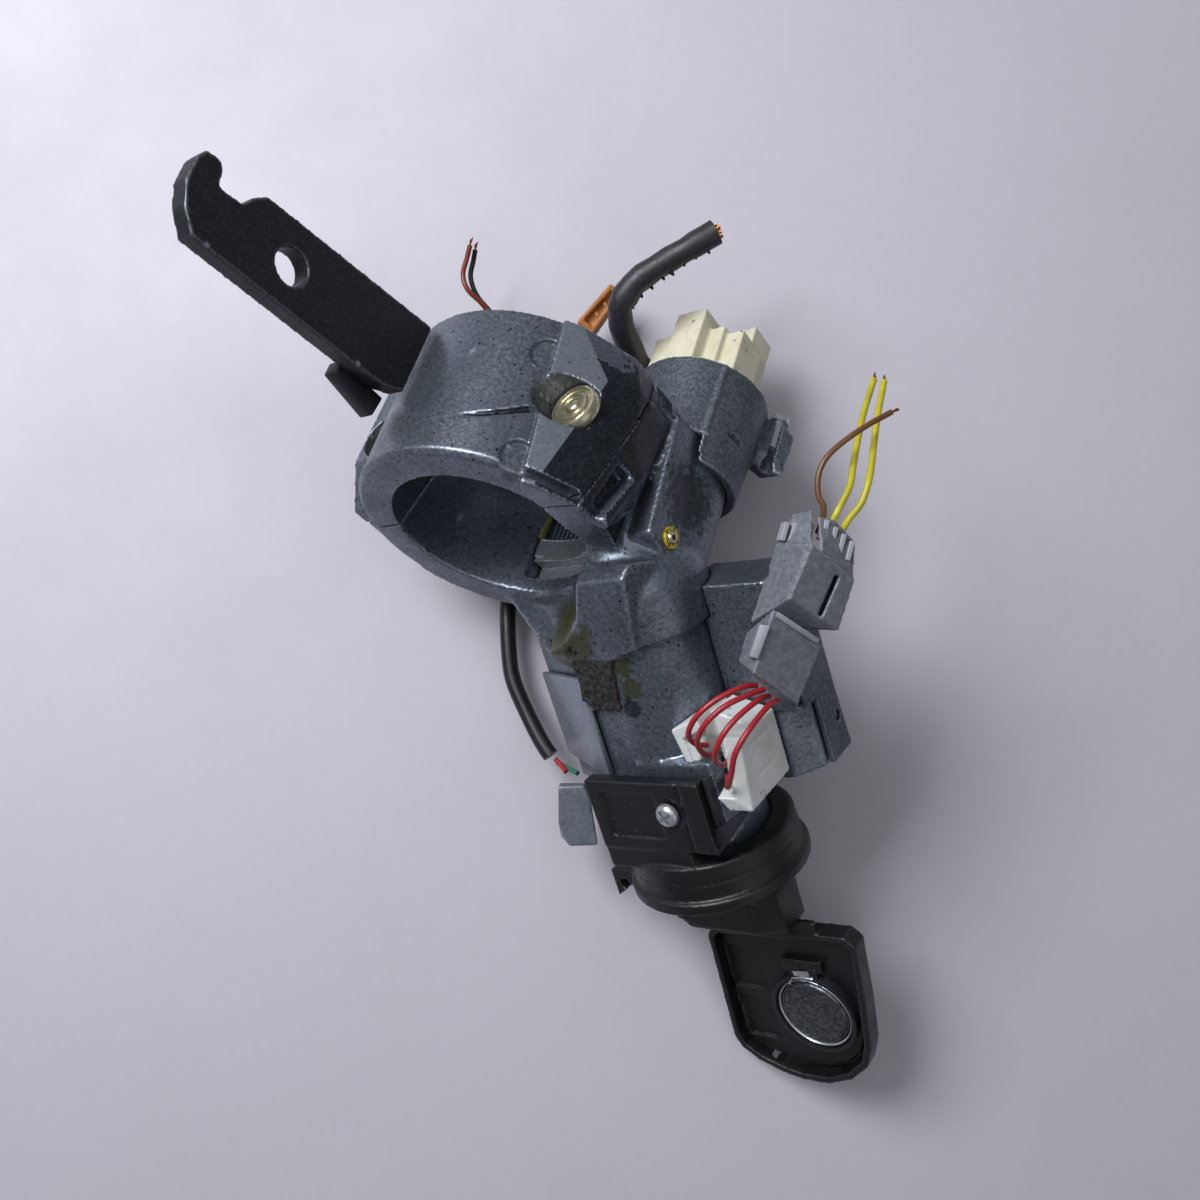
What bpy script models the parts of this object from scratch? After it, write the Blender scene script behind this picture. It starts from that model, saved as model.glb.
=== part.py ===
"""Used ignition switch and steering lock, built piece by piece."""
import math

import bmesh
import bpy
from mathutils import Matrix, Vector

MM = 0.001

# Placing of the whole assembly over the floor
PLACE = Vector((6.8, 20.7, 1.5))
COLLAR_SPOT = Vector((-27.3, 15.4, 53.0))
KEY_AXIS = Vector((0.29, -0.91, -0.28))
PLATE_AXIS = Vector((-0.551, -0.401, 0.732))
COLUMN_AXIS = Vector((-0.30, -0.85, 0.42))

# Column clamp
BORE_R = 25.75
THROAT_R = 20.5
COLLAR_R = 35.0
COLLAR_LEN = 43.0
PART_RISE = 10.0
PART_SLOPE = 0.25
GAP = 0.3
BOLT_X = 31.0
BOLT_Z = -22.0
SHANK_R = 3.4
COUNTER_R = 7.4
HEAD_R = 5.6

# Lock barrel and its lining
KEY_X = 27.0
BARREL_R = 16.4
ROOT_R = 18.2
PLUG_R = 11.0
PLUG_FIT = 0.4
FACE_Y = -93.3
FACE_Z = 45.7
PLUG_BACK = -60.0
PLUG_FRONT = -4.0

# Lock bolt and its slot
LATCH_W = 23.0
LATCH_T = 12.0
LATCH_FIT = 0.4
LATCH_X = 2.0
LATCH_Z = -11.0
LATCH_TOP = -26.4
LATCH_TAIL = -42.0

# Switch on the back
SWITCH_X = 27.0
SWITCH_Y = -27.0
DRUM_R = 15.4
CUP_R = 18.3
CUP_WALL = 1.8
CUP_BACK = -60.0
CUP_FRONT = -31.0
CUP_X = 28.6
CUP_Y = -27.9

# Antenna ring and plate
RING_R = 24.5
RING_IN = 16.9
RING_LEN = 13.0

for old in list(bpy.data.objects):
    bpy.data.objects.remove(old, do_unlink=True)

parts = bpy.data.collections.new("ignition_switch")
bpy.context.scene.collection.children.link(parts)


def clean_axes():
    key = KEY_AXIS.normalized()
    plate = PLATE_AXIS - key * PLATE_AXIS.dot(key)
    plate.normalize()
    side = plate.cross(key)
    side.normalize()
    column = COLUMN_AXIS - side * COLUMN_AXIS.dot(side)
    column.normalize()
    lift = column.cross(side)
    return side, lift, column, plate, key


SIDE, LIFT, COLUMN, PLATE_N, KEY = clean_axes()


def frame_of(x_dir, y_dir, z_dir, spot):
    rows = ((x_dir.x, y_dir.x, z_dir.x, spot.x),
            (x_dir.y, y_dir.y, z_dir.y, spot.y),
            (x_dir.z, y_dir.z, z_dir.z, spot.z),
            (0.0, 0.0, 0.0, 1.0))
    return Matrix(rows)


LOCK = frame_of(SIDE, LIFT, COLUMN, COLLAR_SPOT)
FACE_SPOT = LOCK @ Vector((KEY_X, FACE_Y, FACE_Z))
BARREL = frame_of(SIDE, PLATE_N, KEY, FACE_SPOT)
SOLENOID = BARREL @ Matrix.Translation(Vector((0, 0, -40)))
KEY_IN_LOCK = LOCK.inverted().to_3x3() @ KEY
MEET_RUN = (SWITCH_Y - FACE_Y) / KEY_IN_LOCK.y
MEET_Z = FACE_Z + KEY_IN_LOCK.z * MEET_RUN
WORLD = Matrix.Identity(4)
TO_METRES = Matrix.Scale(MM, 4)


def new_mesh_object(name, bm, frame):
    bmesh.ops.remove_doubles(bm, verts=bm.verts, dist=0.00005)
    bmesh.ops.recalc_face_normals(bm, faces=bm.faces)
    move = TO_METRES @ Matrix.Translation(PLACE) @ frame
    bmesh.ops.transform(bm, matrix=move, verts=bm.verts)
    mesh = bpy.data.meshes.new(name)
    bm.to_mesh(mesh)
    bm.free()
    return bpy.data.objects.new(name, mesh)


def prism(points, low, high, frame=None):
    """A flat outline given a thickness along the frame's third axis."""
    bm = bmesh.new()
    bottom = [bm.verts.new((x, y, low)) for x, y in points]
    top = [bm.verts.new((x, y, high)) for x, y in points]
    bm.faces.new(list(reversed(bottom)))
    bm.faces.new(top)
    count = len(points)
    for n in range(count):
        m = (n + 1) % count
        bm.faces.new((bottom[n], bottom[m], top[m], top[n]))
    return new_mesh_object("tool", bm, frame or LOCK)


def box(low, high, frame=None):
    x0, y0, z0 = low
    x1, y1, z1 = high
    return prism(((x0, y0), (x1, y0), (x1, y1), (x0, y1)), z0, z1, frame)


def turned(profile, centre, direction, frame=None, segments=32):
    """A turned solid from pairs of distance along the axis and radius."""
    axis = Vector(direction).normalized()
    helper = Vector((1, 0, 0)) if abs(axis.x) < 0.9 else Vector((0, 1, 0))
    u_dir = axis.cross(helper).normalized()
    v_dir = axis.cross(u_dir)
    bm = bmesh.new()
    rings = []
    for along, radius in profile:
        spot = Vector(centre) + axis * along
        if radius < 1e-6:
            rings.append([bm.verts.new(spot)])
            continue
        ring = []
        for n in range(segments):
            turn = 2 * math.pi * (n + 0.5) / segments
            out = u_dir * math.cos(turn) + v_dir * math.sin(turn)
            ring.append(bm.verts.new(spot + out * radius))
        rings.append(ring)
    for first, second in zip(rings, rings[1:]):
        for n in range(segments):
            m = (n + 1) % segments
            if len(first) == 1:
                bm.faces.new((first[0], second[m], second[n]))
            elif len(second) == 1:
                bm.faces.new((first[n], first[m], second[0]))
            else:
                bm.faces.new((first[n], first[m], second[m], second[n]))
    if len(rings[0]) > 1:
        bm.faces.new(rings[0])
    if len(rings[-1]) > 1:
        bm.faces.new(rings[-1])
    return new_mesh_object("tool", bm, frame or LOCK)


def rod(centre, direction, radius, low, high, frame=None, segments=32):
    return turned(((low, radius), (high, radius)), centre, direction, frame, segments)


def pipe(centre, direction, outer, inner, low, high, frame=None, segments=32):
    """A tube with both ends open."""
    axis = Vector(direction).normalized()
    helper = Vector((1, 0, 0)) if abs(axis.x) < 0.9 else Vector((0, 1, 0))
    u_dir = axis.cross(helper).normalized()
    v_dir = axis.cross(u_dir)
    bm = bmesh.new()
    loops = []
    for along, radius in ((low, outer), (high, outer), (high, inner), (low, inner)):
        spot = Vector(centre) + axis * along
        loop = []
        for n in range(segments):
            turn = 2 * math.pi * (n + 0.5) / segments
            out = u_dir * math.cos(turn) + v_dir * math.sin(turn)
            loop.append(bm.verts.new(spot + out * radius))
        loops.append(loop)
    for k in range(4):
        first = loops[k]
        second = loops[(k + 1) % 4]
        for n in range(segments):
            m = (n + 1) % segments
            bm.faces.new((first[n], first[m], second[m], second[n]))
    return new_mesh_object("tool", bm, frame or LOCK)


def wrap(points, frame=None):
    """The tight convex block round some corner points."""
    bm = bmesh.new()
    verts = [bm.verts.new(p) for p in points]
    result = bmesh.ops.convex_hull(bm, input=verts)
    loose = [v for v in result["geom_interior"] if isinstance(v, bmesh.types.BMVert)]
    unused = [v for v in bm.verts if not v.link_faces]
    for vert in set(loose + unused):
        if vert.is_valid:
            bm.verts.remove(vert)
    bmesh.ops.dissolve_limit(bm, angle_limit=0.01, verts=bm.verts, edges=bm.edges)
    return new_mesh_object("tool", bm, frame or LOCK)


def loft(lower, upper, low, high, frame=None):
    """A solid between two outlines with the same number of corners."""
    bm = bmesh.new()
    first = [bm.verts.new((x, y, low)) for x, y in lower]
    second = [bm.verts.new((x, y, high)) for x, y in upper]
    bm.faces.new(list(reversed(first)))
    bm.faces.new(second)
    count = len(lower)
    for n in range(count):
        m = (n + 1) % count
        bm.faces.new((first[n], first[m], second[m], second[n]))
    return new_mesh_object("tool", bm, frame or LOCK)


def cord(name, runs, radius, sides=2):
    """Wires as tubes along hand chosen points, in millimetres over the floor."""
    curve = bpy.data.curves.new(name, "CURVE")
    curve.dimensions = "3D"
    curve.bevel_depth = radius * MM
    curve.bevel_resolution = sides
    curve.use_fill_caps = True
    for run in runs:
        fine = smooth_run(run, radius * 4.5)
        spline = curve.splines.new("POLY")
        spline.points.add(len(fine) - 1)
        for point, spot in zip(spline.points, fine):
            here = (spot + PLACE) * MM
            point.co = (here.x, here.y, here.z, 1.0)
    rough = bpy.data.objects.new(name + "_line", curve)
    bpy.context.scene.collection.objects.link(rough)
    graph = bpy.context.evaluated_depsgraph_get()
    mesh = bpy.data.meshes.new_from_object(rough.evaluated_get(graph))
    bpy.data.objects.remove(rough, do_unlink=True)
    return bpy.data.objects.new(name, mesh)


def smooth_run(run, step):
    """A smooth line through the points, sampled every few millimetres."""
    spots = [Vector(p) for p in run]
    ends = [spots[0] * 2 - spots[1]] + spots + [spots[-1] * 2 - spots[-2]]
    fine = [spots[0]]
    for n in range(1, len(ends) - 2):
        a, b, c, d = ends[n - 1:n + 3]
        pieces = max(1, round((c - b).length / step))
        for k in range(1, pieces + 1):
            t = k / pieces
            spot = 0.5 * ((2 * b) + (c - a) * t + (2 * a - 5 * b + 4 * c - d) * t * t
                          + (3 * b - a - 3 * c + d) * t * t * t)
            fine.append(spot)
    return fine


def combine(base, added=(), taken=(), kept=None):
    """Boolean work on a base solid, worked out into a plain mesh."""
    scene = bpy.context.scene.collection
    scene.objects.link(base)
    tools = []
    for kind, group in (("UNION", added), ("DIFFERENCE", taken)):
        for tool in group:
            scene.objects.link(tool)
            tool.hide_render = True
            tool.display_type = "WIRE"
            step = base.modifiers.new(kind.lower(), "BOOLEAN")
            step.operation = kind
            step.solver = "EXACT"
            step.object = tool
            tools.append(tool)
    if kept is not None:
        scene.objects.link(kept)
        step = base.modifiers.new("kept", "BOOLEAN")
        step.operation = "INTERSECT"
        step.solver = "EXACT"
        step.object = kept
        tools.append(kept)
    graph = bpy.context.evaluated_depsgraph_get()
    mesh = bpy.data.meshes.new_from_object(base.evaluated_get(graph))
    for tool in tools:
        bpy.data.objects.remove(tool, do_unlink=True)
    bpy.data.objects.remove(base, do_unlink=True)
    bm = bmesh.new()
    bm.from_mesh(mesh)
    bmesh.ops.remove_doubles(bm, verts=bm.verts, dist=0.00005)
    bmesh.ops.dissolve_degenerate(bm, edges=bm.edges, dist=0.00002)
    bm.to_mesh(mesh)
    bm.free()
    return bpy.data.objects.new("worked", mesh)


def finish(name, item, colour, metallic=0.0, rough=0.5):
    item.name = name
    item.data.name = name
    item.data.materials.clear()
    material = bpy.data.materials.new(name)
    material.use_nodes = True
    shader = material.node_tree.nodes["Principled BSDF"]
    shader.inputs["Base Color"].default_value = (*colour, 1.0)
    shader.inputs["Metallic"].default_value = metallic
    shader.inputs["Roughness"].default_value = rough
    item.data.materials.append(material)
    parts.objects.link(item)
    return item


CAST = (0.26, 0.27, 0.29)
BLACK = (0.02, 0.02, 0.022)
STEEL = (0.55, 0.55, 0.56)
CREAM = (0.75, 0.71, 0.58)
BRASS = (0.62, 0.47, 0.18)
GREY = (0.42, 0.44, 0.47)


def slanted_half(above):
    """A big block on one side of the sloping joint between cap and housing."""
    shift = -GAP / 2 if above else GAP / 2
    far = 90.0 if above else -120.0
    near_y = PART_RISE + PART_SLOPE * 60 + shift
    back_y = PART_RISE - PART_SLOPE * 80 + shift
    corners = []
    for x in (-60, 70):
        corners.append((x, near_y, 60))
        corners.append((x, back_y, -80))
        corners.append((x, far, 60))
        corners.append((x, far, -80))
    return wrap(corners)


def right_ear():
    top = [(25.0, 24.2, -42.9), (28.6, 20.3, -42.9), (33.0, 17.0, -34.0),
           (30.4, 18.2, -0.2), (27.6, 21.2, -0.2)]
    low = [(20.0, -10.0, -42.9), (36.0, -10.0, -42.9), (38.5, -8.0, -34.0),
           (38.5, -6.0, -8.0), (35.5, -4.0, -0.2), (20.0, -10.0, -0.2)]
    mid = [(37.0, 8.0, -34.0), (36.0, 10.0, -3.0)]
    return wrap(top + low + mid)


def left_ear():
    corners = [(-26.0, 20.0, -41.0), (-38.0, 20.0, -41.0), (-38.0, 20.5, -14.5),
               (-38.0, 14.4, -2.6), (-26.0, 14.4, -2.6), (-26.0, 20.5, -14.5),
               (-24.0, -8.0, -41.0), (-36.0, -8.0, -41.0), (-38.0, -2.0, -41.0),
               (-38.0, 0.0, -2.6), (-35.0, -6.0, -2.6), (-24.0, -8.0, -2.6)]
    return wrap(corners)


# Clamp cap over the column
cap_taken = [slanted_half(False),
             rod((0, 0, 0), (0, 0, 1), BORE_R, -60, 60, segments=64),
             rod((BOLT_X, 0, BOLT_Z), (0, 1, 0), COUNTER_R, 14.0, 60),
             rod((BOLT_X, 0, BOLT_Z), (0, 1, 0), SHANK_R + 0.4, -20, 30, segments=24),
             rod((-BOLT_X, 0, BOLT_Z), (0, 1, 0), COUNTER_R, 14.0, 60),
             rod((-BOLT_X, 0, BOLT_Z), (0, 1, 0), SHANK_R + 0.4, -20, 30, segments=24)]
clamp_cap = combine(rod((0, 0, 0), (0, 0, 1), COLLAR_R, -COLLAR_LEN, 0, segments=64),
                    [right_ear(), left_ear()], cap_taken)
finish("clamp_cap", clamp_cap, CAST, 0.85, 0.45)

# Steel bracket bar standing on the cap
BAR_FACE = -8.6
BAR_T = 5.3
bar_outline = [(34.6, -41.0), (86.1, -33.6), (88.6, -30.8), (90.0, -27.2), (96.0, -26.2),
               (97.0, -30.3), (99.0, -31.6), (102.0, -30.9), (103.0, -28.0), (102.6, -22.0),
               (99.9, -16.4), (95.8, -12.2), (49.7, -16.6), (40.0, -18.0), (34.6, -20.5)]
bar_frame = LOCK @ frame_of(Vector((0, 1, 0)), Vector((0, 0, 1)), Vector((1, 0, 0)),
                            Vector((0, 0, 0)))
bar = combine(prism(bar_outline, BAR_FACE - BAR_T, BAR_FACE, bar_frame), [],
              [rod((73.9, -24.4, 0), (0, 0, 1), 4.4, -40, 10, bar_frame)])
finish("bracket_bar", bar, BLACK, 0.3, 0.5)
gusset = prism([(35.4, -19.0), (36.0, -13.0), (50.0, -15.2), (50.0, -19.0)],
               BAR_FACE - BAR_T - 5.0, BAR_FACE - BAR_T - 0.3, bar_frame)
finish("bracket_gusset", gusset, BLACK, 0.3, 0.5)

# Shear bolts
for label, x in (("shear_bolt_right", BOLT_X), ("shear_bolt_left", -BOLT_X)):
    bolt = turned(((-8.0, SHANK_R), (14.3, SHANK_R), (14.3, HEAD_R), (18.6, HEAD_R),
                   (19.4, HEAD_R - 1.2), (19.4, 2.6), (20.6, 2.3)),
                  (x, 0, BOLT_Z), (0, 1, 0), segments=24)
    finish(label, bolt, BRASS, 0.9, 0.35)

# Lock housing, the main casting
neck = wrap([(-14, -27.2, 1.6), (32, -14, 13), (34.2, -23.7, 21.2), (10.1, -25.2, 20.9),
             (-17.5, -30.2, -0.6), (33, -8, -0.6), (28, -20, -0.6), (2, -34.5, -0.6),
             (-18, -26, -30), (30, -26, -30), (-12, -53, -19), (18, -53, -19),
             (-12, -53, -2), (34, -40, 18), (8, -44, 16), (21, -53, -1)])
lid_body = prism([(-38, 0.4), (-14, 13.4), (0, 15.6), (0, -15), (-30, -15), (-38, -7)],
                 -80, -26, BARREL)
barrel_tube = rod((0, 0, 0), (0, 0, 1), BARREL_R, -74.0, -2.0, BARREL, segments=48)
barrel_root = rod((0, 0, 0), (0, 0, 1), ROOT_R, -99.0, -71.0, BARREL, segments=48)
gear_drum = rod((SWITCH_X, SWITCH_Y, 0), (0, 0, 1), DRUM_R, -36, 5, segments=40)
gear_bridge = wrap([(18, -30, -38), (40, -27, -38), (40.6, -8, -38), (18, -8, -38),
                    (18, -30, -1), (41.2, -26, -1), (41.2, -10, -4), (18, -10, -1)])
plate_boss = prism([(-4, 10), (18.3, 10), (18.3, 16.8), (-4, 16.8)], -40, -18, BARREL)
gate_stub = prism([(-14, 12), (-3, 12), (-3, 17.2), (-14, 16.6)], -69, -54, BARREL)
housing_taken = [slanted_half(True),
                 rod((0, 0, 0), (0, 0, 1), BORE_R, -90, 0.4, segments=64),
                 rod((0, 0, 0), (0, 0, 1), THROAT_R, 0, 90, segments=64),
                 rod((0, 0, 0), (0, 0, 1), PLUG_R + PLUG_FIT, -61, 10, BARREL),
                 rod((0, 0, 0), (0, 0, 1), 9.6, -74, -58, BARREL),
                 rod((0, 0, 0), (0, 0, 1), 6.8, -86, -70, BARREL),
                 rod((SWITCH_X, SWITCH_Y, 0), (0, 0, 1), 6.8, -50, 2),
                 box((LATCH_X - LATCH_W / 2 - LATCH_FIT, -51, LATCH_Z - LATCH_T / 2 - LATCH_FIT),
                     (LATCH_X + LATCH_W / 2 + LATCH_FIT, -20, LATCH_Z + LATCH_T / 2 + LATCH_FIT)),
                 box((11.0, -51, -17.4), (18.8, -30.4, 3.2)),
                 rod((0, -17.7, -7.3), (1, 0, 0), 3.0, 41.2, 60, segments=20),
                 rod((0, -17.7, -7.3), (1, 0, 0), 1.75, 36, 60, segments=16),
                 rod((0, 5.2, 0), (1, 0, 0), 2.4, 9, 30, SOLENOID, 20),
                 rod((5.4, 0, -28.3), (0, 1, 0), 2.1, 8, 30, BARREL, 16),
                 rod((BOLT_X, 0, BOLT_Z), (0, 1, 0), SHANK_R + 0.4, -12, 30, segments=24),
                 rod((-BOLT_X, 0, BOLT_Z), (0, 1, 0), SHANK_R + 0.4, -12, 30, segments=24),
                 wrap([(34.5, -5, -27), (34.5, 4, -27), (45, 4, -27), (45, -5, -27),
                       (34.5, -2, -5), (34.5, 8, -5), (45, 8, -5), (45, -2, -5)])]
housing = combine(rod((0, 0, 0), (0, 0, 1), COLLAR_R, -COLLAR_LEN, 0, segments=64),
                  [right_ear(), left_ear(), neck, gear_bridge, gear_drum, barrel_root,
                   barrel_tube, lid_body, plate_boss, gate_stub], housing_taken)
finish("lock_housing", housing, CAST, 0.85, 0.5)

# Lock bolt with its side arm, and the spring behind it
latch_body = box((LATCH_X - LATCH_W / 2, LATCH_TAIL, LATCH_Z - LATCH_T / 2),
                 (LATCH_X + LATCH_W / 2, -20.0, LATCH_Z + LATCH_T / 2))
latch_arm = box((LATCH_X + LATCH_W / 2 - 2, -41.9, -16.0), (18.0, -37.0, 2.2))
latch_bore = rod((0, 0, 0), (0, 0, 1), BORE_R + 0.3, -60, 60, segments=64)
latch_well = rod((LATCH_X - 4, 0, LATCH_Z - 1.5), (0, 1, 0), 3.0, -60, -30.4, segments=20)
latch_step = box((LATCH_X - 20, -28.6, LATCH_Z + 1.0), (LATCH_X + 20, -10, LATCH_Z + 20))
latch = combine(latch_body, [latch_arm], [latch_bore, latch_well, latch_step])
finish("lock_bolt", latch, STEEL, 0.95, 0.3)
spring_line = []
for n in range(49):
    turn = 2 * math.pi * n / 8
    spring_line.append(LOCK @ Vector((LATCH_X - 4 + 2.1 * math.cos(turn), -50.3 + 0.235 * n,
                                      LATCH_Z - 1.5 + 2.1 * math.sin(turn))))
finish("bolt_spring", cord("bolt_spring", [spring_line], 0.35, 0), STEEL, 0.9, 0.3)

# Roll pin in the flank of the casting
finish("roll_pin", rod((0, -17.7, -7.3), (1, 0, 0), 1.6, 36.4, 42.2, segments=16), BRASS, 0.9, 0.4)

# Key plug with its tail shaft, cam and bevel wheel
MEET = MEET_RUN
plug = turned(((MEET + 1.5, 2.8), (MEET + 3.0, 5.6), (MEET + 4.2, 5.6),
               (MEET + 4.2, 3.6), (-72.6, 3.6), (-72.6, 8.4), (-68.0, 8.4), (-68.0, 4.2),
               (-60.6, 4.2), (-60.6, PLUG_R), (PLUG_FRONT, PLUG_R)),
              (0, 0, 0), (0, 0, 1), BARREL, 40)
plug_taken = [box((-4.6, -1.5, -34), (4.6, 1.5, 0), BARREL)]
TUMBLERS = (-12.0, -18.0, -24.0, -30.0)
for z in TUMBLERS:
    plug_taken.append(box((-5.9, -9.3, z - 1.0), (5.9, 9.3, z + 1.0), BARREL))
finish("key_plug", combine(plug, [], plug_taken), BRASS, 0.9, 0.35)
for n, z in enumerate(TUMBLERS):
    plate = combine(box((-5.6, -8.6, z - 0.7), (5.6, 8.6, z + 0.7), BARREL), [],
                    [box((-4.6, -1.6, z - 3), (4.6, 1.6, z + 3), BARREL)])
    finish("tumbler_%d" % (n + 1), plate, BRASS, 0.9, 0.35)

# Key blade, its black bow and the open remote case
FLAT = BARREL @ frame_of(Vector((1, 0, 0)), Vector((0, 0, 1)), Vector((0, -1, 0)),
                         Vector((0, 0, 0)))
blade = prism([(-4.1, 8.4), (4.1, 8.4), (4.1, -26), (1.5, -31), (-1.5, -31), (-4.1, -26)],
              -1.1, 1.1, FLAT)
finish("key_blade", blade, STEEL, 0.95, 0.3)
bow = combine(prism([(-15.5, 3.0), (16.5, 3.0), (18.0, 5.0), (18.0, 17.0), (15.5, 19.8),
                     (-13.5, 19.8), (-16.5, 17.0), (-16.5, 5.0)], -5.5, 5.5, FLAT), [],
              [box((-4.4, -1.4, -2), (4.4, 1.4, 9), BARREL)])
finish("key_bow", bow, BLACK, 0.0, 0.5)
CASE_OUT = [(-10.5, 22.6), (13.5, 20.8), (30.5, 20.4), (33.2, 23.0), (31.5, 42.0),
            (29.5, 56.0), (27.0, 62.5), (21.0, 68.0), (13.3, 71.3), (5.0, 71.6),
            (-1.0, 70.5), (-8.0, 67.8), (-13.0, 64.0), (-14.4, 60.0), (-12.6, 25.0)]
case_mid = Vector((9.5, 46.0))
CASE_IN = []
for x, z in CASE_OUT:
    away = Vector((x, z)) - case_mid
    spot = case_mid + away * (1 - 2.0 / away.length)
    CASE_IN.append((spot.x, spot.y))
case = combine(prism(CASE_OUT, 0.0, 6.0, FLAT), [], [prism(CASE_IN, -2.0, 4.6, FLAT)])
finish("remote_case", case, BLACK, 0.0, 0.45)
CELL = (14.6, 47.6)
cell_spot = (CELL[0], 0, CELL[1])
finish("coin_cell", rod(cell_spot, (0, -1, 0), 10.0, 1.0, 4.2, BARREL, 40), STEEL, 0.9, 0.35)
clip = pipe(cell_spot, (0, -1, 0), 11.1, 10.3, 1.6, 4.3, BARREL, 40)
finish("battery_clip", clip, STEEL, 0.95, 0.25)

# Antenna ring with its coil, flat plate and screw
ring = combine(turned(((-RING_LEN, 21.5), (-RING_LEN + 0.6, 22.8), (-3.4, 23.2), (-3.4, RING_R),
                       (0, RING_R)), (0, 0, 0), (0, 0, 1), BARREL, 56),
               [box((-18.6, 17.5, -36.8), (16.0, 21.4, -17.2), BARREL),
                box((-18.6, 16.9, -18.2), (8.0, 21.0, -11.0), BARREL),
                wrap([(-28.6, 3, -3), (-28.6, 12, -3), (-20, 3, -3), (-20, 12, -3),
                      (-28.6, 3, 5.5), (-28.6, 12, 5.5), (-20.5, 3, 0), (-20, 12, 0)], BARREL)],
               [rod((0, 0, 0), (0, 0, 1), RING_IN, -60, 60, BARREL, 48),
                rod((0, 0, 0), (0, 0, 1), 20.2, -2.2, 60, BARREL, 48),
                rod((5.4, 0, -28.3), (0, 1, 0), 2.0, 0, 40, BARREL, 16),
                rod((0, 0, 0), (0, 0, 1), 20.9, -11.5, -4.0, BARREL, 48)])
finish("antenna_ring", ring, BLACK, 0.0, 0.45)
finish("antenna_coil", pipe((0, 0, 0), (0, 0, 1), 20.6, 18.4, -11.2, -4.3, BARREL, 48),
       (0.6, 0.3, 0.12), 0.9, 0.35)
screw = turned(((12.0, 1.7), (21.7, 1.7), (21.7, 3.1), (23.0, 2.9), (23.6, 2.0)),
               (5.4, 0, -28.3), (0, 1, 0), BARREL, 20)
finish("antenna_screw", screw, STEEL, 0.95, 0.3)

# Narrow lid over the bolt gallery
lid = wrap([(-38.3, 0.7, -58.5), (-14.3, 13.8, -62.5), (-15.0, 15.1, -62.5), (-39.0, 2.0, -58.5),
            (-38.3, 0.7, -33.5), (-14.3, 13.8, -33.5), (-15.0, 15.1, -33.5), (-39.0, 2.0, -33.5)],
           BARREL)
finish("gallery_lid", lid, CAST, 0.8, 0.5)

# Interlock block on the right with its cover
block_rear = prism([(12.0, -0.6), (35.2, -0.6), (35.6, -1.2), (35.6, -17.2), (12.0, -17.2)],
                   -79.0, -45.0, BARREL)
block_front = prism([(11.0, -0.9), (29.4, -0.9), (35.4, -7.4), (35.4, -18.0), (11.0, -18.0)],
                    -46.7, -26.4, BARREL)
block = combine(block_rear, [block_front],
                [rod((0, 0, 0), (0, 0, 1), BARREL_R + 0.3, -95, 10, BARREL, 48),
                 rod((0, 0, 0), (0, 0, 1), ROOT_R + 0.3, -99, -70.6, BARREL, 48),
                 rod((SWITCH_X, SWITCH_Y, 0), (0, 0, 1), DRUM_R + 0.3, -60, 12, LOCK, 40),
                 box((10, -32, -45), (41.6, 10, 0)),
                 box((30, -30, -45), (36, 10, 12))])
finish("interlock_block", block, CAST, 0.85, 0.5)
side_frame = BARREL @ frame_of(Vector((0, 1, 0)), Vector((0, 0, 1)), Vector((1, 0, 0)),
                               Vector((0, 0, 0)))
cover = combine(prism([(-1.4, -50.8), (-2.3, -45.2), (-7.3, -45.4), (-7.9, -27.0),
                       (-18.4, -27.0), (-17.2, -44.0), (-16.8, -62.0), (-1.4, -66.0)],
                      35.9, 37.2, side_frame), [],
                [rod((-15.2, -36.5, 0), (0, 0, 1), 1.4, 30, 40, side_frame, 16)])
finish("interlock_cover", cover, CAST, 0.8, 0.5)

# Solenoid in its white case
sol = combine(wrap([(18.8, 0.0, -50.5), (29.2, 0.0, -46.5), (29.2, 0.0, -29.5),
                    (18.8, 0.0, -29.5), (18.8, 24.0, -53.0), (22.8, 20.0, -29.5),
                    (29.2, 20.0, -29.5), (18.8, 24.0, -41.0), (29.2, 17.0, -47.5),
                    (24.0, 22.5, -50.0)], BARREL), [],
              [box((17.0, 11.0, -60.0), (26.4, 30, -33.8), BARREL),
               rod((0, 5.2, 0), (1, 0, 0), 4.4, 20.4, 27.6, SOLENOID, 24),
               rod((0, 5.2, 0), (1, 0, 0), 2.4, 10, 24, SOLENOID, 20)])
finish("solenoid_case", sol, CREAM, 0.0, 0.5)
finish("solenoid_coil", pipe((0, 5.2, 0), (1, 0, 0), 4.1, 2.4, 20.7, 27.3, SOLENOID, 24),
       (0.6, 0.3, 0.12), 0.9, 0.35)
finish("solenoid_plunger", rod((0, 5.2, 0), (1, 0, 0), 2.0, 11.6, 24.6, SOLENOID, 20),
       STEEL, 0.95, 0.3)

# Key warning switch beside the antenna plate
warn = wrap([(-11.2, -49.5, 29.5), (-0.5, -49.5, 29.5), (-0.5, -66.3, 28.0), (-11.2, -66.3, 28.0),
             (-11.2, -50.5, 17.5), (-2.5, -50.5, 17.5), (-2.5, -66.0, 17.0), (-11.2, -66.0, 17.0)],
            WORLD)
finish("key_warning_switch", warn, GREY, 0.6, 0.5)

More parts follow.
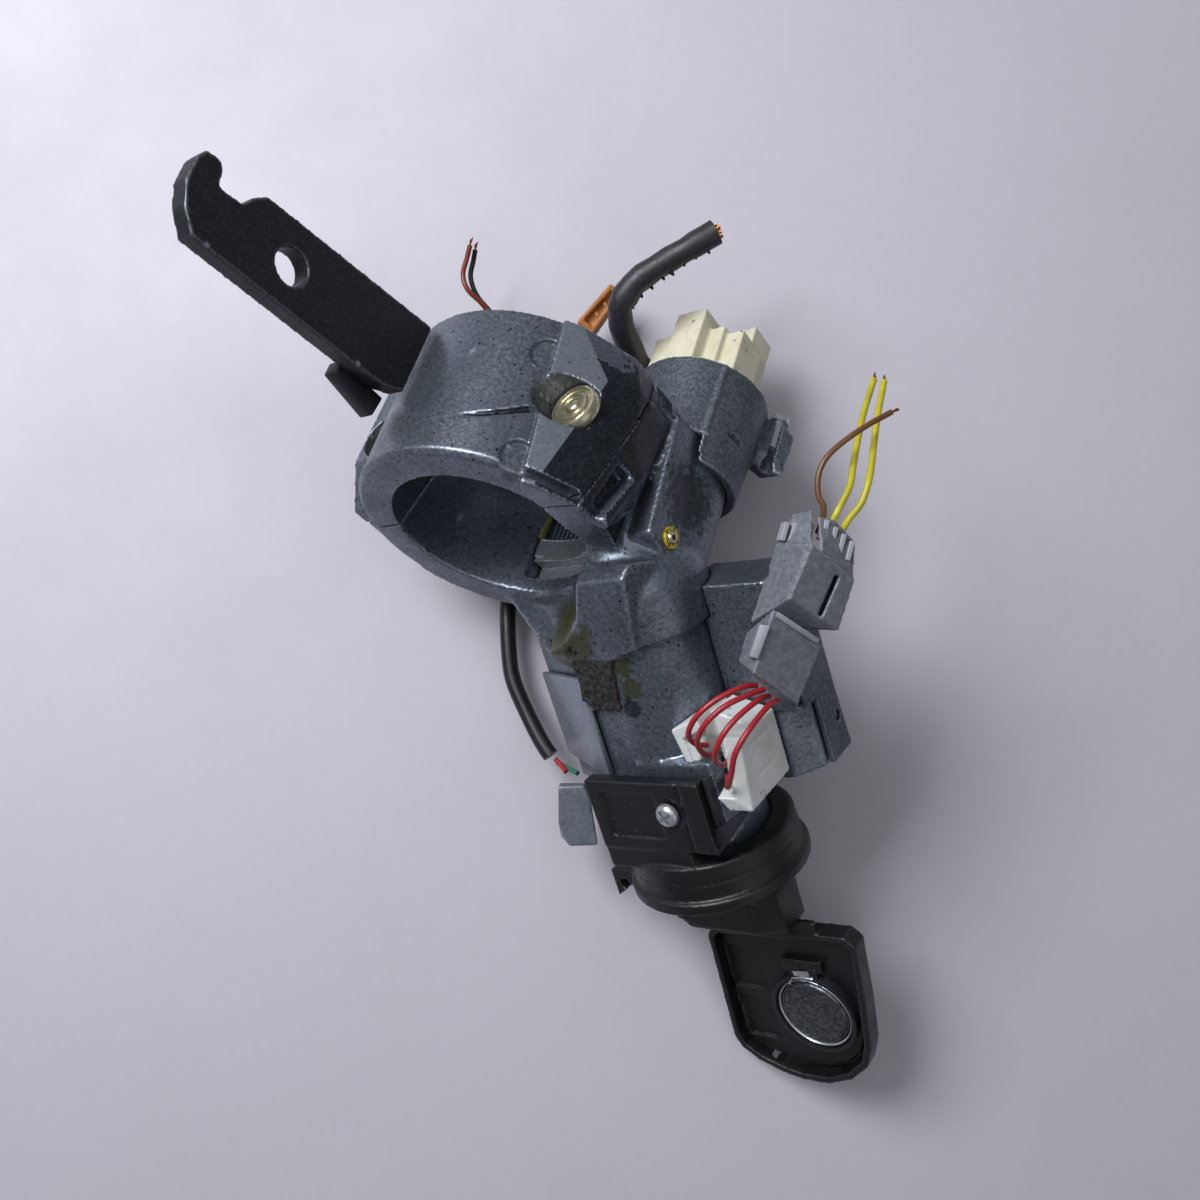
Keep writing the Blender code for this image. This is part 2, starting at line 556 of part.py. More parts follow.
# Flared cup that carries the switch
cup_ear = wrap([(36, -30, -60), (46.5, -43, -60), (49.0, -45.5, -57), (48.5, -45.0, -44),
                (43.0, -40.0, -47), (36, -36, -47), (36, -40, -60), (41, -47, -57),
                (41, -46, -45)])
cup = combine(turned(((CUP_FRONT, CUP_R - 2.0), (CUP_BACK, CUP_R)),
                     (CUP_X, CUP_Y, 0), (0, 0, 1), LOCK, 48),
              [cup_ear],
              [rod((SWITCH_X, SWITCH_Y, 0), (0, 0, 1), DRUM_R + 0.3, -36.3, 0, LOCK, 40),
               turned(((-38.9, CUP_R - 2.0 - CUP_WALL), (CUP_BACK - 1, CUP_R - CUP_WALL)),
                      (CUP_X, CUP_Y, 0), (0, 0, 1), LOCK, 48),
               rod((SWITCH_X, SWITCH_Y, 0), (0, 0, 1), 4.6, -60, 0, LOCK, 24),
               rod((0, 0, 0), (0, 0, 1), COLLAR_R + 0.4, -43.4, 30, LOCK, 64),
               box((10, -11.3, -44.1), (44, 20, 0)),
               wrap([(17.4, -31, -38.4), (41.6, -27.8, -38.4), (41.6, -4, -38.4), (17.4, -4, -38.4),
                     (17.4, -31, 0), (41.6, -27.8, 0), (41.6, -4, 0), (17.4, -4, 0)]),
               rod((44.5, -42.5, 0), (0, 0, 1), 1.6, -70, -30, LOCK, 16)])
finish("switch_cup", cup, CAST, 0.85, 0.5)

# Cream switch body with its plug towers
base_r = 14.7
tower_set = [((17.6, -22.4), (24.9, -14.9), -73.5), ((23.4, -24.9), (32.8, -13.9), -80.0),
             ((30.8, -26.4), (37.3, -17.9), -76.0), ((35.3, -30.4), (42.4, -19.9), -75.0),
             ((26.8, -36.4), (39.8, -27.4), -83.5), ((14.8, -38.4), (27.8, -24.4), -76.0)]
towers = [box((a[0], a[1], end), (b[0], b[1], -60.5)) for a, b, end in tower_set]
body = combine(rod((CUP_X, CUP_Y, 0), (0, 0, 1), base_r, -63.0, -46.0, LOCK, 48), towers,
               [rod((SWITCH_X, SWITCH_Y, 0), (0, 0, 1), 11.0, -58.0, -40.0, LOCK, 32),
                rod((SWITCH_X, SWITCH_Y, 0), (0, 0, 1), 3.2, -62.0, -40.0, LOCK, 20)])
finish("switch_body", body, CREAM, 0.0, 0.5)

# Switch shaft with its bevel wheel and contact wiper
shaft = turned(((MEET_Z - 1.5, 2.8), (MEET_Z - 3.0, 5.6), (MEET_Z - 4.2, 5.6),
                (MEET_Z - 4.2, 3.6), (-48.0, 3.6), (-48.0, 9.6), (-53.0, 9.6), (-53.0, 2.6),
                (-60.5, 2.6)), (SWITCH_X, SWITCH_Y, 0), (0, 0, 1), LOCK, 32)
finish("switch_shaft", shaft, BRASS, 0.7, 0.4)
contact = combine(pipe((SWITCH_X, SWITCH_Y, 0), (0, 0, 1), 9.8, 5.0, -57.6, -56.4, LOCK, 32), [],
                  [box((SWITCH_X - 1.2, SWITCH_Y - 12, -62), (SWITCH_X + 1.2, SWITCH_Y, -50))])
finish("contact_plate", contact, (0.6, 0.3, 0.12), 0.9, 0.35)
ear_screw = turned(((-62.2, 2.7), (-60.4, 2.7), (-60.4, 1.3), (-52.0, 1.3)),
                   (44.5, -42.5, 0), (0, 0, 1), LOCK, 20)
finish("switch_screw", ear_screw, STEEL, 0.9, 0.35)

# Grey connector pair lying on the interlock block
plug_a = wrap([(47.2, 12.7, 84.0), (42.4, 0.5, 82.0), (58.4, 4.8, 77.0), (55.0, -7.1, 75.0),
               (40.5, 13.1, 75.0), (34.7, -5.1, 73.0), (51.3, 4.9, 68.0), (47.8, -6.9, 66.0)],
              WORLD)
comb = [wrap([(41.0, 14.4, 75.5), (44.4, 19.8, 74.5), (48.6, 20.6, 76.5), (47.3, 12.4, 82.0),
              (43.4, 11.8, 72.0), (49.3, 17.7, 70.0), (44.8, 5.9, 78.0), (46.3, 5.9, 73.0)], WORLD),
        wrap([(49.5, 11.8, 81.0), (49.7, 19.3, 77.0), (53.9, 18.5, 76.0), (59.1, 13.4, 74.0),
              (58.0, 4.5, 76.5), (53.2, 11.8, 70.0), (51.2, 3.9, 78.0), (53.2, 3.9, 73.0)], WORLD)]
clear_block = box((0, -40, -100), (37.7, -0.1, 0), BARREL)
socket = combine(plug_a, comb, [clear_block])
finish("grey_socket", socket, GREY, 0.0, 0.5)
lower = wrap([(39.1, -1.9, 81.4), (34.7, -16.5, 79.6), (51.4, -10.3, 74.6), (46.0, -24.1, 72.8),
              (33.8, -7.6, 73.0), (32.1, -14.1, 72.4), (46.6, -10.1, 66.8), (41.7, -23.7, 65.4)],
             WORLD)
lower = combine(lower, [], [box((0, -40, -100), (37.7, -0.1, 0), BARREL)])
finish("grey_plug", lower, GREY, 0.0, 0.5)

# Tan connector behind the collar
tan = wrap([(-6.4, 77.6, 17.0), (2.8, 88.2, 17.0), (6.1, 86.0, 16.0), (-2.2, 74.0, 16.0),
            (-6.4, 77.6, 8.0), (2.8, 88.2, 8.0), (6.1, 86.0, 8.0), (-2.2, 74.0, 8.0)], WORLD)
finish("tan_connector", tan, (0.42, 0.22, 0.1), 0.0, 0.5)

# Wires and cables, along hand chosen points in millimetres over the floor
YELLOW = (0.78, 0.66, 0.08)
RED = (0.45, 0.03, 0.04)
CORDS = {
    "yellow_wire_a": (0.8, YELLOW, [[(55.0, 20.8, 74), (57.9, 26.5, 73), (59.4, 32.1, 70),
                                     (62.9, 43.4, 63), (67.1, 54.1, 57)]]),
    "yellow_wire_b": (0.8, YELLOW, [[(57.4, 18.6, 74), (60.2, 22.5, 75), (62.3, 28.6, 74),
                                     (64.3, 36.1, 69), (66.0, 44.1, 66), (68.9, 53.0, 60)]]),
    "brown_wire": (0.7, (0.3, 0.16, 0.08), [[(51.4, 21.6, 75), (50.2, 24.3, 75), (50.4, 29.3, 75),
                                             (53.2, 34.0, 75), (60.2, 39.4, 74),
                                             (67.9, 43.8, 71.5)]]),
    "red_wire_1": (0.7, RED, [[(37.9, -20.6, 73.8), (34.5, -21.5, 76), (28.4, -24.2, 78),
                               (23.9, -28.5, 77), (22.5, -33.0, 73), (24.6, -36.3, 69),
                               (27.2, -36.6, 66)]]),
    "red_wire_2": (0.7, RED, [[(39.3, -22.4, 71.8), (36.2, -22.8, 77), (30.7, -26.8, 80),
                               (27.2, -31.4, 80), (26.2, -36.0, 77), (28.6, -38.6, 71),
                               (30.6, -38.0, 66.5)]]),
    "red_wire_3": (0.7, RED, [[(36.4, -19.9, 71.8), (33.0, -20.1, 74), (27.0, -22.7, 75.5),
                               (22.2, -26.9, 74.5), (20.6, -31.3, 71), (22.6, -34.0, 67.5),
                               (25.6, -34.6, 65)]]),
    "red_wire_4": (0.7, RED, [[(41.0, -23.2, 73.8), (38.3, -24.1, 78), (33.4, -29.1, 82),
                               (30.3, -34.5, 82.0), (29.8, -39.7, 78.5), (29.7, -43.5, 72.1),
                               (30.2, -41.6, 67.6)]]),
    "taped_cable": (3.6, BLACK, [[(7.4, 69.5, 29), (5.6, 73.0, 33),
                                  (5.2, 76.7, 36), (8.6, 82.2, 38), (14.3, 86, 40),
                                  (21.9, 90.1, 42), (29.8, 94.5, 43)]]),
    "rear_wire_a": (0.7, (0.32, 0.05, 0.03), [[(-29.0, 77.0, 15), (-32.5, 81.9, 18),
                                              (-36.4, 85.5, 20), (-37.8, 89.6, 20),
                                              (-36.6, 94, 21), (-35.6, 97.3, 22)]]),
    "rear_wire_b": (0.7, BLACK, [[(-27.0, 76.4, 13), (-30.6, 80.6, 15), (-34.3, 84.8, 17),
                                  (-35.9, 89.6, 18), (-35.0, 94, 19), (-34.4, 96.6, 20)]]),
    "sheathed_cable": (2.3, BLACK, [[(-26.5, 0, 4), (-26.6, -5.2, 5), (-26.2, -14.4, 6),
                                     (-24.9, -22.9, 7), (-20.5, -32.8, 9), (-16.4, -40.4, 11),
                                     (-13.9, -43.9, 12)]]),
    "warning_wire_red": (0.7, RED, [[(-12.6, -44.9, 12.5), (-11.0, -46.3, 14),
                                     (-9.5, -48.0, 16)]]),
    "warning_wire_green": (0.7, (0.03, 0.22, 0.12), [[(-12.0, -46.2, 11.0), (-9.6, -47.0, 13.5),
                                                     (-6.2, -48.3, 16.5)]]),
}
for label, (radius, colour, runs) in CORDS.items():
    finish(label, cord(label, runs, radius), colour, 0.0, 0.4)
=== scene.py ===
"""Looks of a used ignition switch with its steering lock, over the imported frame."""
import math
import random

import bmesh
import bpy
from mathutils import Matrix, Vector, noise


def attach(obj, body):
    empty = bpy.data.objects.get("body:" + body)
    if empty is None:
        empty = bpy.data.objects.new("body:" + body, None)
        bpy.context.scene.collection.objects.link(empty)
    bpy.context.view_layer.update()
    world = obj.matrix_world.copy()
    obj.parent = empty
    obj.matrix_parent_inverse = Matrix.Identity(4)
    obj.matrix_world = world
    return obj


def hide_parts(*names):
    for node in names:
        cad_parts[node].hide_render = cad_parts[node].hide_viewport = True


bl_info = {
    "name": "Ignition Switch Dressing",
    "version": (1, 0, 0),
    "blender": (4, 5, 0),
    "location": "3D View > Sidebar > Ignition",
    "description": "Builds the visible pieces of a used ignition switch and steering lock",
    "category": "Object",
}

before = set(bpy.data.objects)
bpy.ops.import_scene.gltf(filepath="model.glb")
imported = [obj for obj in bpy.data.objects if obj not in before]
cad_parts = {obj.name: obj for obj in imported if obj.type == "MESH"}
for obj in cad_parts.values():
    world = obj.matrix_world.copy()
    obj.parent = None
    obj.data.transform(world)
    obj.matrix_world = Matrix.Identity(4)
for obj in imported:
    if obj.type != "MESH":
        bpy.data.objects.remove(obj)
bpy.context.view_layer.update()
MM = 0.001

# Sizes and places in millimetres, in the same frames as the solids
PLACE = Vector((6.8, 20.7, 1.5))
COLLAR_SPOT = Vector((-27.3, 15.4, 53.0))
BORE_R = 25.75
COLLAR_R = 35.0
COLLAR_LEN = 43.0
BOLT_X = 31.0
BOLT_Z = -22.0
BOLT_HOLE_R = 3.8
COUNTERBORE_R = 6.6
SWITCH_SPOT = (27.0, -27.0, 0)
CUP_X = 28.6
CUP_Y = -27.9
CUP_SPOT = (CUP_X, CUP_Y, 0)
ROLL_PIN = (0, -17.7, -7.3)
PLATE_SCREW = (5.4, 0, -28.3)
CELL_SPOT = (14.6, 0, 47.6)
PLUNGER_SPOT = (0, 5.2, 0)
CAMERA_SPOT = (6.8, 20.7, 352.5)
DIMPLES = ((24.9, 24.6, -32.8), (26.4, 23.0, -4.0))
DIMPLE_DEPTH = 1.0
FACET_RISE = 1.6
BAR_EDGE = 0.12

# How far a finish's roughness strays to either side
ROUGH_PLAY = 0.12

# Directions and the middle of any frame
ACROSS = (1, 0, 0)
UP = (0, 1, 0)
DOWN = (0, -1, 0)
ALONG = (0, 0, 1)
CENTRE = (0, 0, 0)


def clean_axes():
    """The directions of the lock, its plate and its key, made square to one another."""
    key = Vector((0.29, -0.91, -0.28)).normalized()
    plate = Vector((-0.551, -0.401, 0.732))
    plate = (plate - key * plate.dot(key)).normalized()
    side = plate.cross(key).normalized()
    column = Vector((-0.30, -0.85, 0.42))
    column = (column - side * column.dot(side)).normalized()
    return side, column.cross(side), column, plate, key


SIDE, LIFT, COLUMN, PLATE_N, KEY = clean_axes()


def frame_of(x_dir, y_dir, z_dir, spot):
    """A frame from its three directions and its middle."""
    return Matrix(((x_dir.x, y_dir.x, z_dir.x, spot.x), (x_dir.y, y_dir.y, z_dir.y, spot.y),
                   (x_dir.z, y_dir.z, z_dir.z, spot.z), (0.0, 0.0, 0.0, 1.0)))


LOCK = frame_of(SIDE, LIFT, COLUMN, COLLAR_SPOT)
BARREL = frame_of(SIDE, PLATE_N, KEY, LOCK @ Vector((27.0, -93.3, 45.7)))
SOLENOID = BARREL @ Matrix.Translation(Vector((0, 0, -40)))
FLAT = BARREL @ frame_of(Vector((1, 0, 0)), Vector((0, 0, 1)), Vector((0, -1, 0)), Vector())
SIDEWAYS = frame_of(Vector((0, 1, 0)), Vector((0, 0, 1)), Vector((1, 0, 0)), Vector())
WORLD = Matrix.Identity(4)
TO_METRES = Matrix.Scale(MM, 4) @ Matrix.Translation(PLACE)


def linear(code):
    """An sRGB hex colour as linear red, green and blue."""
    parts = [int(code[n:n + 2], 16) / 255 for n in (1, 3, 5)]
    return tuple(c / 12.92 if c <= 0.04045 else ((c + 0.055) / 1.055) ** 2.4 for c in parts)


def colour_choice(label, words, code):
    return bpy.props.FloatVectorProperty(name=label, description=words, subtype="COLOR", size=3,
                                         min=0.0, max=1.0, default=linear(code))


def length_choice(label, words, value):
    return bpy.props.FloatProperty(name=label, description=words, unit="LENGTH",
                                   precision=5, min=0.0, default=value)


class SwitchSizes(bpy.types.PropertyGroup):
    cast_edge: length_choice("Cast edge", "How soft the edges of the castings are", 0.00072)
    moulded_edge: length_choice("Moulded edge", "How soft the plastic edges are", 0.00042)
    groove_depth: length_choice("Groove depth", "Depth of the tapered groove on the cap", 0.0012)
    dimple_radius: length_choice("Dimple radius", "Radius of the dimples beside the ear", 0.0042)
    tooth_pitch: length_choice("Tooth pitch", "Spacing of the connector's comb", 0.0024)
    rib_pitch: length_choice("Rib pitch", "Spacing of the fine ribs", 0.0016)
    wire_core: length_choice("Wire core", "Radius of the bare copper at a cut end", 0.0004)


class SwitchColours(bpy.types.PropertyGroup):
    casting: colour_choice("Casting", "Die-cast aluminium alloy", "#646b76")
    # The casting's dark colour serves random grime blotches and painted crevice shade; its rim
    # colour serves edge wear and painted highlight.
    casting_grime_and_shade: colour_choice("Casting shade", "Grime and painted crevice shade of the casting", "#262a31")
    casting_rim: colour_choice("Casting rim", "Rubbed edges of the casting with painted highlight", "#aab2bd")
    coated: colour_choice("Coated steel", "Black coating on the bracket", "#17191d")
    plated: colour_choice("Plating", "Yellow zinc on the bolts", "#c8c0a4")
    bright: colour_choice("Bright steel", "Turned and pressed steel", "#b9bdc2")
    black_abs: colour_choice("Black plastic", "Moulded black plastic", "#0b0c0e")
    cream: colour_choice("Cream nylon", "Plastic of the switch body", "#cfc9b0")
    white: colour_choice("White nylon", "Plastic of the solenoid case", "#d3d5d4")
    grey: colour_choice("Grey nylon", "Plastic of the connectors", "#5d6068")
    tan: colour_choice("Tan plastic", "Plastic of the rear connector", "#a5672f")
    red: colour_choice("Red wire", "Insulation of the red wires", "#a01f27")
    yellow: colour_choice("Yellow wire", "Insulation of the yellow wires", "#b9ad22")
    floor: colour_choice("Floor", "Plain pale floor", "#bcb8c1")


def sizes():
    return bpy.context.scene.switch_sizes


def colours():
    return bpy.context.scene.switch_colours


# Materials

def add(tree, kind, settings=None, links=None):
    """Adds one node, with its settings, and its inputs as numbers or links."""
    node = tree.nodes.new(kind)
    for key, value in (settings or {}).items():
        setattr(node, key, value)
    for key, value in (links or {}).items():
        if isinstance(value, bpy.types.NodeSocket):
            tree.links.new(value, node.inputs[key])
        else:
            node.inputs[key].default_value = value
    return node


def four(colour):
    return (colour[0], colour[1], colour[2], 1.0)


def steps(node, stops):
    """Sets the stops of a colour ramp as pairs of place and grey value."""
    ramp = node.color_ramp
    while len(ramp.elements) < len(stops):
        ramp.elements.new(0.5)
    for element, (place, value) in zip(ramp.elements, stops):
        element.position = place
        element.color = (value, value, value, 1.0)
    return node.outputs["Color"]


def blend(tree, tone, colour, mask, strength):
    """Lays a colour over a tone where a mask is white, as far as the strength says."""
    amount = add(tree, "ShaderNodeMath", {"operation": "MULTIPLY"}, {0: mask, 1: strength})
    return add(tree, "ShaderNodeMix", {"data_type": "RGBA"},
               {0: amount.outputs[0], 6: tone, 7: four(colour)}).outputs[2]


def surface(name, base, dark=None, light=None, metallic=0.0, rough=0.5, grain=1.2, grain_mix=0.25,
            blotch=14.0, blotch_mix=0.4, speck=None, speck_size=1.0, speck_cut=0.62,
            bump=0.05, rim=0.0, crevice_shade=0.0, patches=(), stretch=(1, 1, 1)):
    """A worn surface whose pattern sizes are in millimetres of the real thing; edges get wear and
    painted highlight, crevices painted shade.
    """
    material = bpy.data.materials.get(name)
    if material:
        return material
    material = bpy.data.materials.new(name)
    material.use_nodes = True
    tree = material.node_tree
    shader = tree.nodes["Principled BSDF"]
    where = add(tree, "ShaderNodeTexCoord").outputs["Object"]
    laid = add(tree, "ShaderNodeMapping", {}, {"Vector": where, "Scale": stretch}).outputs["Vector"]
    dark = dark or tuple(0.45 * c for c in base)
    light = light or tuple(min(1.0, 1.35 * c) for c in base)
    fine = add(tree, "ShaderNodeTexNoise", {}, {"Vector": laid, "Scale": 1000 / grain,
                                                "Detail": 3.0, "Roughness": 0.6}).outputs["Fac"]
    broad = add(tree, "ShaderNodeTexNoise", {}, {"Vector": where, "Scale": 1000 / blotch,
                                                 "Detail": 6.0, "Roughness": 0.65}).outputs["Fac"]
    spread = steps(add(tree, "ShaderNodeValToRGB", {}, {"Fac": broad}), ((0.42, 0.0), (0.68, 1.0)))
    tone = blend(tree, four(base), dark, spread, blotch_mix)
    grit = steps(add(tree, "ShaderNodeValToRGB", {}, {"Fac": fine}), ((0.4, 0.0), (0.72, 1.0)))
    tone = blend(tree, tone, light, grit, grain_mix)
    if rim or crevice_shade:
        edge = add(tree, "ShaderNodeNewGeometry").outputs["Pointiness"]
    # Convex edges lightened: partly edge wear, partly painted highlight.
    if rim:
        edge_wear_and_highlight = steps(add(tree, "ShaderNodeValToRGB", {}, {"Fac": edge}), ((0.515, 0.0), (0.6, 1.0)))
        tone = blend(tree, tone, light, edge_wear_and_highlight, rim)
    # Crevices darkened where pointiness is low: painted shade.
    if crevice_shade:
        painted_crevice_mask = steps(add(tree, "ShaderNodeValToRGB", {}, {"Fac": edge}),
                      ((0.4, 1.0), (0.49, 0.0)))
        tone = blend(tree, tone, dark, painted_crevice_mask, crevice_shade)
    for spot, reach, colour, strength, break_up in patches:
        spot = (Vector(spot) + PLACE) * MM
        far = add(tree, "ShaderNodeVectorMath", {"operation": "DISTANCE"},
                  {0: where, 1: tuple(spot)}).outputs["Value"]
        ragged = add(tree, "ShaderNodeTexNoise", {}, {"Vector": where, "Scale": 1000 / break_up,
                                                      "Detail": 4.0}).outputs["Fac"]
        near = add(tree, "ShaderNodeMapRange", {}, {"Value": far, "From Min": reach * MM,
                                                    "From Max": 0.15 * reach * MM,
                                                    "To Min": 0.0, "To Max": 0.75}).outputs[0]
        torn = add(tree, "ShaderNodeMath", {"operation": "ADD"}, {0: near, 1: ragged}).outputs[0]
        mask = steps(add(tree, "ShaderNodeValToRGB", {}, {"Fac": torn}), ((0.9, 0.0), (1.12, 1.0)))
        tone = blend(tree, tone, colour, mask, strength)
    if speck:
        dots = add(tree, "ShaderNodeTexNoise", {}, {"Vector": where, "Scale": 1000 / speck_size,
                                                    "Detail": 2.0, "Roughness": 0.5}).outputs["Fac"]
        cut = steps(add(tree, "ShaderNodeValToRGB", {}, {"Fac": dots}),
                    ((speck_cut, 0.0), (speck_cut + 0.05, 1.0)))
        tone = add(tree, "ShaderNodeMix", {"data_type": "RGBA"},
                   {0: cut, 6: tone, 7: four(speck)}).outputs[2]
    tree.links.new(tone, shader.inputs["Base Color"])
    shader.inputs["Metallic"].default_value = metallic
    play = add(tree, "ShaderNodeMapRange", {}, {"Value": broad, "From Min": 0.3, "From Max": 0.7,
                                                "To Min": max(0.05, rough - ROUGH_PLAY),
                                                "To Max": min(1.0, rough + ROUGH_PLAY)})
    tree.links.new(play.outputs[0], shader.inputs["Roughness"])
    relief = add(tree, "ShaderNodeBump", {}, {"Height": fine, "Distance": bump * MM,
                                              "Strength": 0.6})
    tree.links.new(relief.outputs["Normal"], shader.inputs["Normal"])
    return material


def cast_metal():
    """Die-cast aluminium alloy, as cast: blue-grey and matt, dark specks, edges pale from wear and
    painted highlight.
    """
    paint = colours()
    flat = LOCK @ Vector((13.0, -24.5, 16.0))
    apex = LOCK @ Vector((13.0, -24.5, 9.5))
    strip = BARREL @ Vector((1.2, 16.6, -66.5))
    strip_low = BARREL @ Vector((1.8, 16.6, -60.0))
    low = BARREL @ Vector((0.5, 16.6, -55.0))
    crack = LOCK @ Vector((15.5, -25.2, 17.8))
    crack_top = LOCK @ Vector((14.6, -24.6, 13.0))
    ear = LOCK @ Vector((40, 3, -36))
    ear_low = LOCK @ Vector((38, -8, -44))
    rear = LOCK @ Vector((40, -20, -20))
    bore = LOCK @ Vector((2, -24, -30))
    black = linear("#15171b")
    olive = linear("#4d5122")
    return surface("die-cast aluminium alloy", paint.casting, paint.casting_grime_and_shade,
                   paint.casting_rim, 0.8, 0.38, grain=0.9, grain_mix=0.34, blotch=20,
                   blotch_mix=0.6, speck=linear("#1b1d22"), speck_size=1.0, speck_cut=0.66,
                   # Edges pale from wear and painted highlight; crevices in painted shade.
                   bump=0.09, rim=0.75, crevice_shade=0.75,
                   # The black patches at the ear, below the ear and at the rear darken the right
                   # flank, which is turned from the light: painted shade.
                   patches=((flat, 19.0, olive, 0.75, 8.0), (apex, 13.0, olive, 0.6, 6.0),
                            (strip, 6.0, olive, 0.8, 1.6), (strip_low, 6.0, olive, 0.75, 1.6),
                            (low, 5.0, black, 0.7, 1.6), (crack, 5.0, black, 0.9, 1.2),
                            (crack_top, 4.0, black, 0.9, 1.2), (ear, 15.0, black, 0.75, 1.3),
                            (ear_low, 13.0, black, 0.8, 1.3), (rear, 17.0, black, 0.6, 1.6),
                            (bore, 10.0, linear("#9fb0c0"), 0.3, 1.4)))


def shadowed_metal():
    """The alloy nearly black and a little glossy: painted shade for walls and grooves out of the
    light.
    """
    return surface("die-cast alloy, painted deep shade", linear("#2b2f36"), linear("#15171a"),
                   linear("#6b727c"), 0.75, 0.3, grain=0.9, grain_mix=0.25, blotch=9,
                   blotch_mix=0.5, bump=0.06, rim=0.2)


def painted_highlight_metal():
    """The alloy paler and more even: a painted highlight for the facet that faces the light."""
    return surface("die-cast alloy, painted highlight", linear("#868d97"), linear("#4a4f57"),
                   linear("#b9c0c8"), 0.75, 0.38, grain=0.9, grain_mix=0.3, blotch=14,
                   blotch_mix=0.35, speck=linear("#2a2d33"), speck_size=1.0, speck_cut=0.68,
                   bump=0.07, rim=0.6)


def painted_shade_metal():
    """The same alloy darkened: painted shade for parts and pockets away from the light."""
    paint = colours()
    return surface("die-cast alloy, painted shade", tuple(0.6 * c for c in paint.casting),
                   paint.casting_grime_and_shade, paint.casting_rim, 0.6, 0.5, grain=0.8, grain_mix=0.28,
                   blotch=12, blotch_mix=0.5, speck=linear("#16181c"), speck_size=0.9,
                   speck_cut=0.68, bump=0.08, rim=0.7, crevice_shade=0.6)


def coated_steel():
    """Black electrocoated steel plate: satin, pale at the edges where grey steel shows and from
    painted highlight.
    """
    paint = colours()
    return surface("black coated steel", paint.coated, linear("#101114"), linear("#7a8086"),
                   0.35, 0.42, grain=0.7, grain_mix=0.1, blotch=11, blotch_mix=0.5,
                   speck=linear("#5c6167"), speck_size=1.3, speck_cut=0.74, bump=0.05, rim=0.9)


def plated_steel():
    """Yellow passivated zinc on steel: golden to grey, with a rainbow cast and dark oil."""
    paint = colours()
    return surface("yellow zinc plating", paint.plated, linear("#5b4a26"), linear("#e8e0c4"),
                   0.9, 0.28, grain=1.4, grain_mix=0.45, blotch=3.0, blotch_mix=0.7,
                   bump=0.03, rim=0.4)


def bright_steel():
    """Pressed and turned steel: cool white glints with a little oil."""
    paint = colours()
    return surface("bright steel", paint.bright, linear("#5f6468"), linear("#f0f2f4"), 0.75, 0.3,
                   grain=0.8, grain_mix=0.2, blotch=4.0, blotch_mix=0.35, bump=0.02)


def black_plastic():
    """Moulded black ABS: fine spark texture, dusty, faint grey at the edges."""
    paint = colours()
    return surface("moulded black plastic", paint.black_abs, linear("#08090b"),
                   linear("#2c2f35"), 0.0, 0.42, grain=0.8, grain_mix=0.12, blotch=9,
                   blotch_mix=0.4, speck=linear("#5a5e66"), speck_size=1.2, speck_cut=0.76,
                   bump=0.04, rim=0.7)


def cream_nylon():
    """Natural nylon yellowed by age, with brown specks of grease and dust."""
    paint = colours()
    return surface("aged cream nylon", paint.cream, linear("#a39a76"), linear("#e3e0d0"), 0.0,
                   0.46, grain=2.0, grain_mix=0.25, blotch=10, blotch_mix=0.45,
                   speck=linear("#3a3220"), speck_size=1.5, speck_cut=0.69, bump=0.03,
                   rim=0.4, crevice_shade=0.6)


def white_nylon():
    """White glass-filled nylon: cool, slightly soiled, darker towards its lower edges."""
    paint = colours()
    low = BARREL @ Vector((24, 15, -30))
    return surface("white nylon", paint.white, linear("#9c9a8e"), linear("#eceff0"), 0.0, 0.45,
                   grain=2.5, grain_mix=0.2, blotch=9, blotch_mix=0.35, speck=linear("#4b4233"),
                   speck_size=1.6, speck_cut=0.72, bump=0.03, rim=0.3, crevice_shade=0.5,
                   # A darker patch towards the case's lower edges.
                   patches=((low, 9, linear("#54503f"), 0.55, 1.5),))


def grey_nylon():
    """Grey connector nylon: flat and slightly blue, pale edges, painted shade in the slots."""
    paint = colours()
    return surface("grey connector nylon", paint.grey, linear("#42454d"), linear("#b4b7be"), 0.0,
                   0.5, grain=1.4, grain_mix=0.18, blotch=8, blotch_mix=0.35,
                   speck=linear("#2c2e34"), speck_size=1.3, speck_cut=0.72, bump=0.03,
                   rim=0.55, crevice_shade=0.6)


def brass_metal():
    """Drawn brass of the plug and tumblers: dull gold with dark oil."""
    return surface("drawn brass", linear("#a58d54"), linear("#4d3f22"), linear("#d8c68e"), 0.9,
                   0.34, grain=0.9, blotch=4, blotch_mix=0.5, bump=0.02)


def copper_metal():
    """Bare copper strands and windings: orange, brown where it has tarnished."""
    return surface("bare copper", linear("#b5713f"), linear("#5a3620"), linear("#e0a778"), 0.9,
                   0.32, grain=0.5, blotch=2, blotch_mix=0.5, bump=0.03)


def broken_metal():
    """Fractured zinc alloy at the broken gate: rough, almost black with soaked oil."""
    return surface("fractured gate metal", linear("#1b1b1c"), linear("#08080a"),
                   linear("#54544e"), 0.35, 0.7, grain=1.0, grain_mix=0.55, blotch=3,
                   blotch_mix=0.5, bump=0.35)


def wire_plastic(name, colour):
    """Soft PVC insulation: slightly glossy, dust along its length."""
    return surface("pvc insulation " + name, colour, tuple(0.35 * c for c in colour), None, 0.0,
                   0.36, grain=1.5, grain_mix=0.15, blotch=5, blotch_mix=0.45, bump=0.02)


def grease():
    """Old lithium grease: yellow-green, wet and glossy."""
    return surface("old grease", linear("#8f8f3a"), linear("#3c3b17"), linear("#cfcf8a"), 0.0,
                   0.25, grain=0.9, grain_mix=0.3, blotch=2, blotch_mix=0.6, bump=0.15)


# Shapes

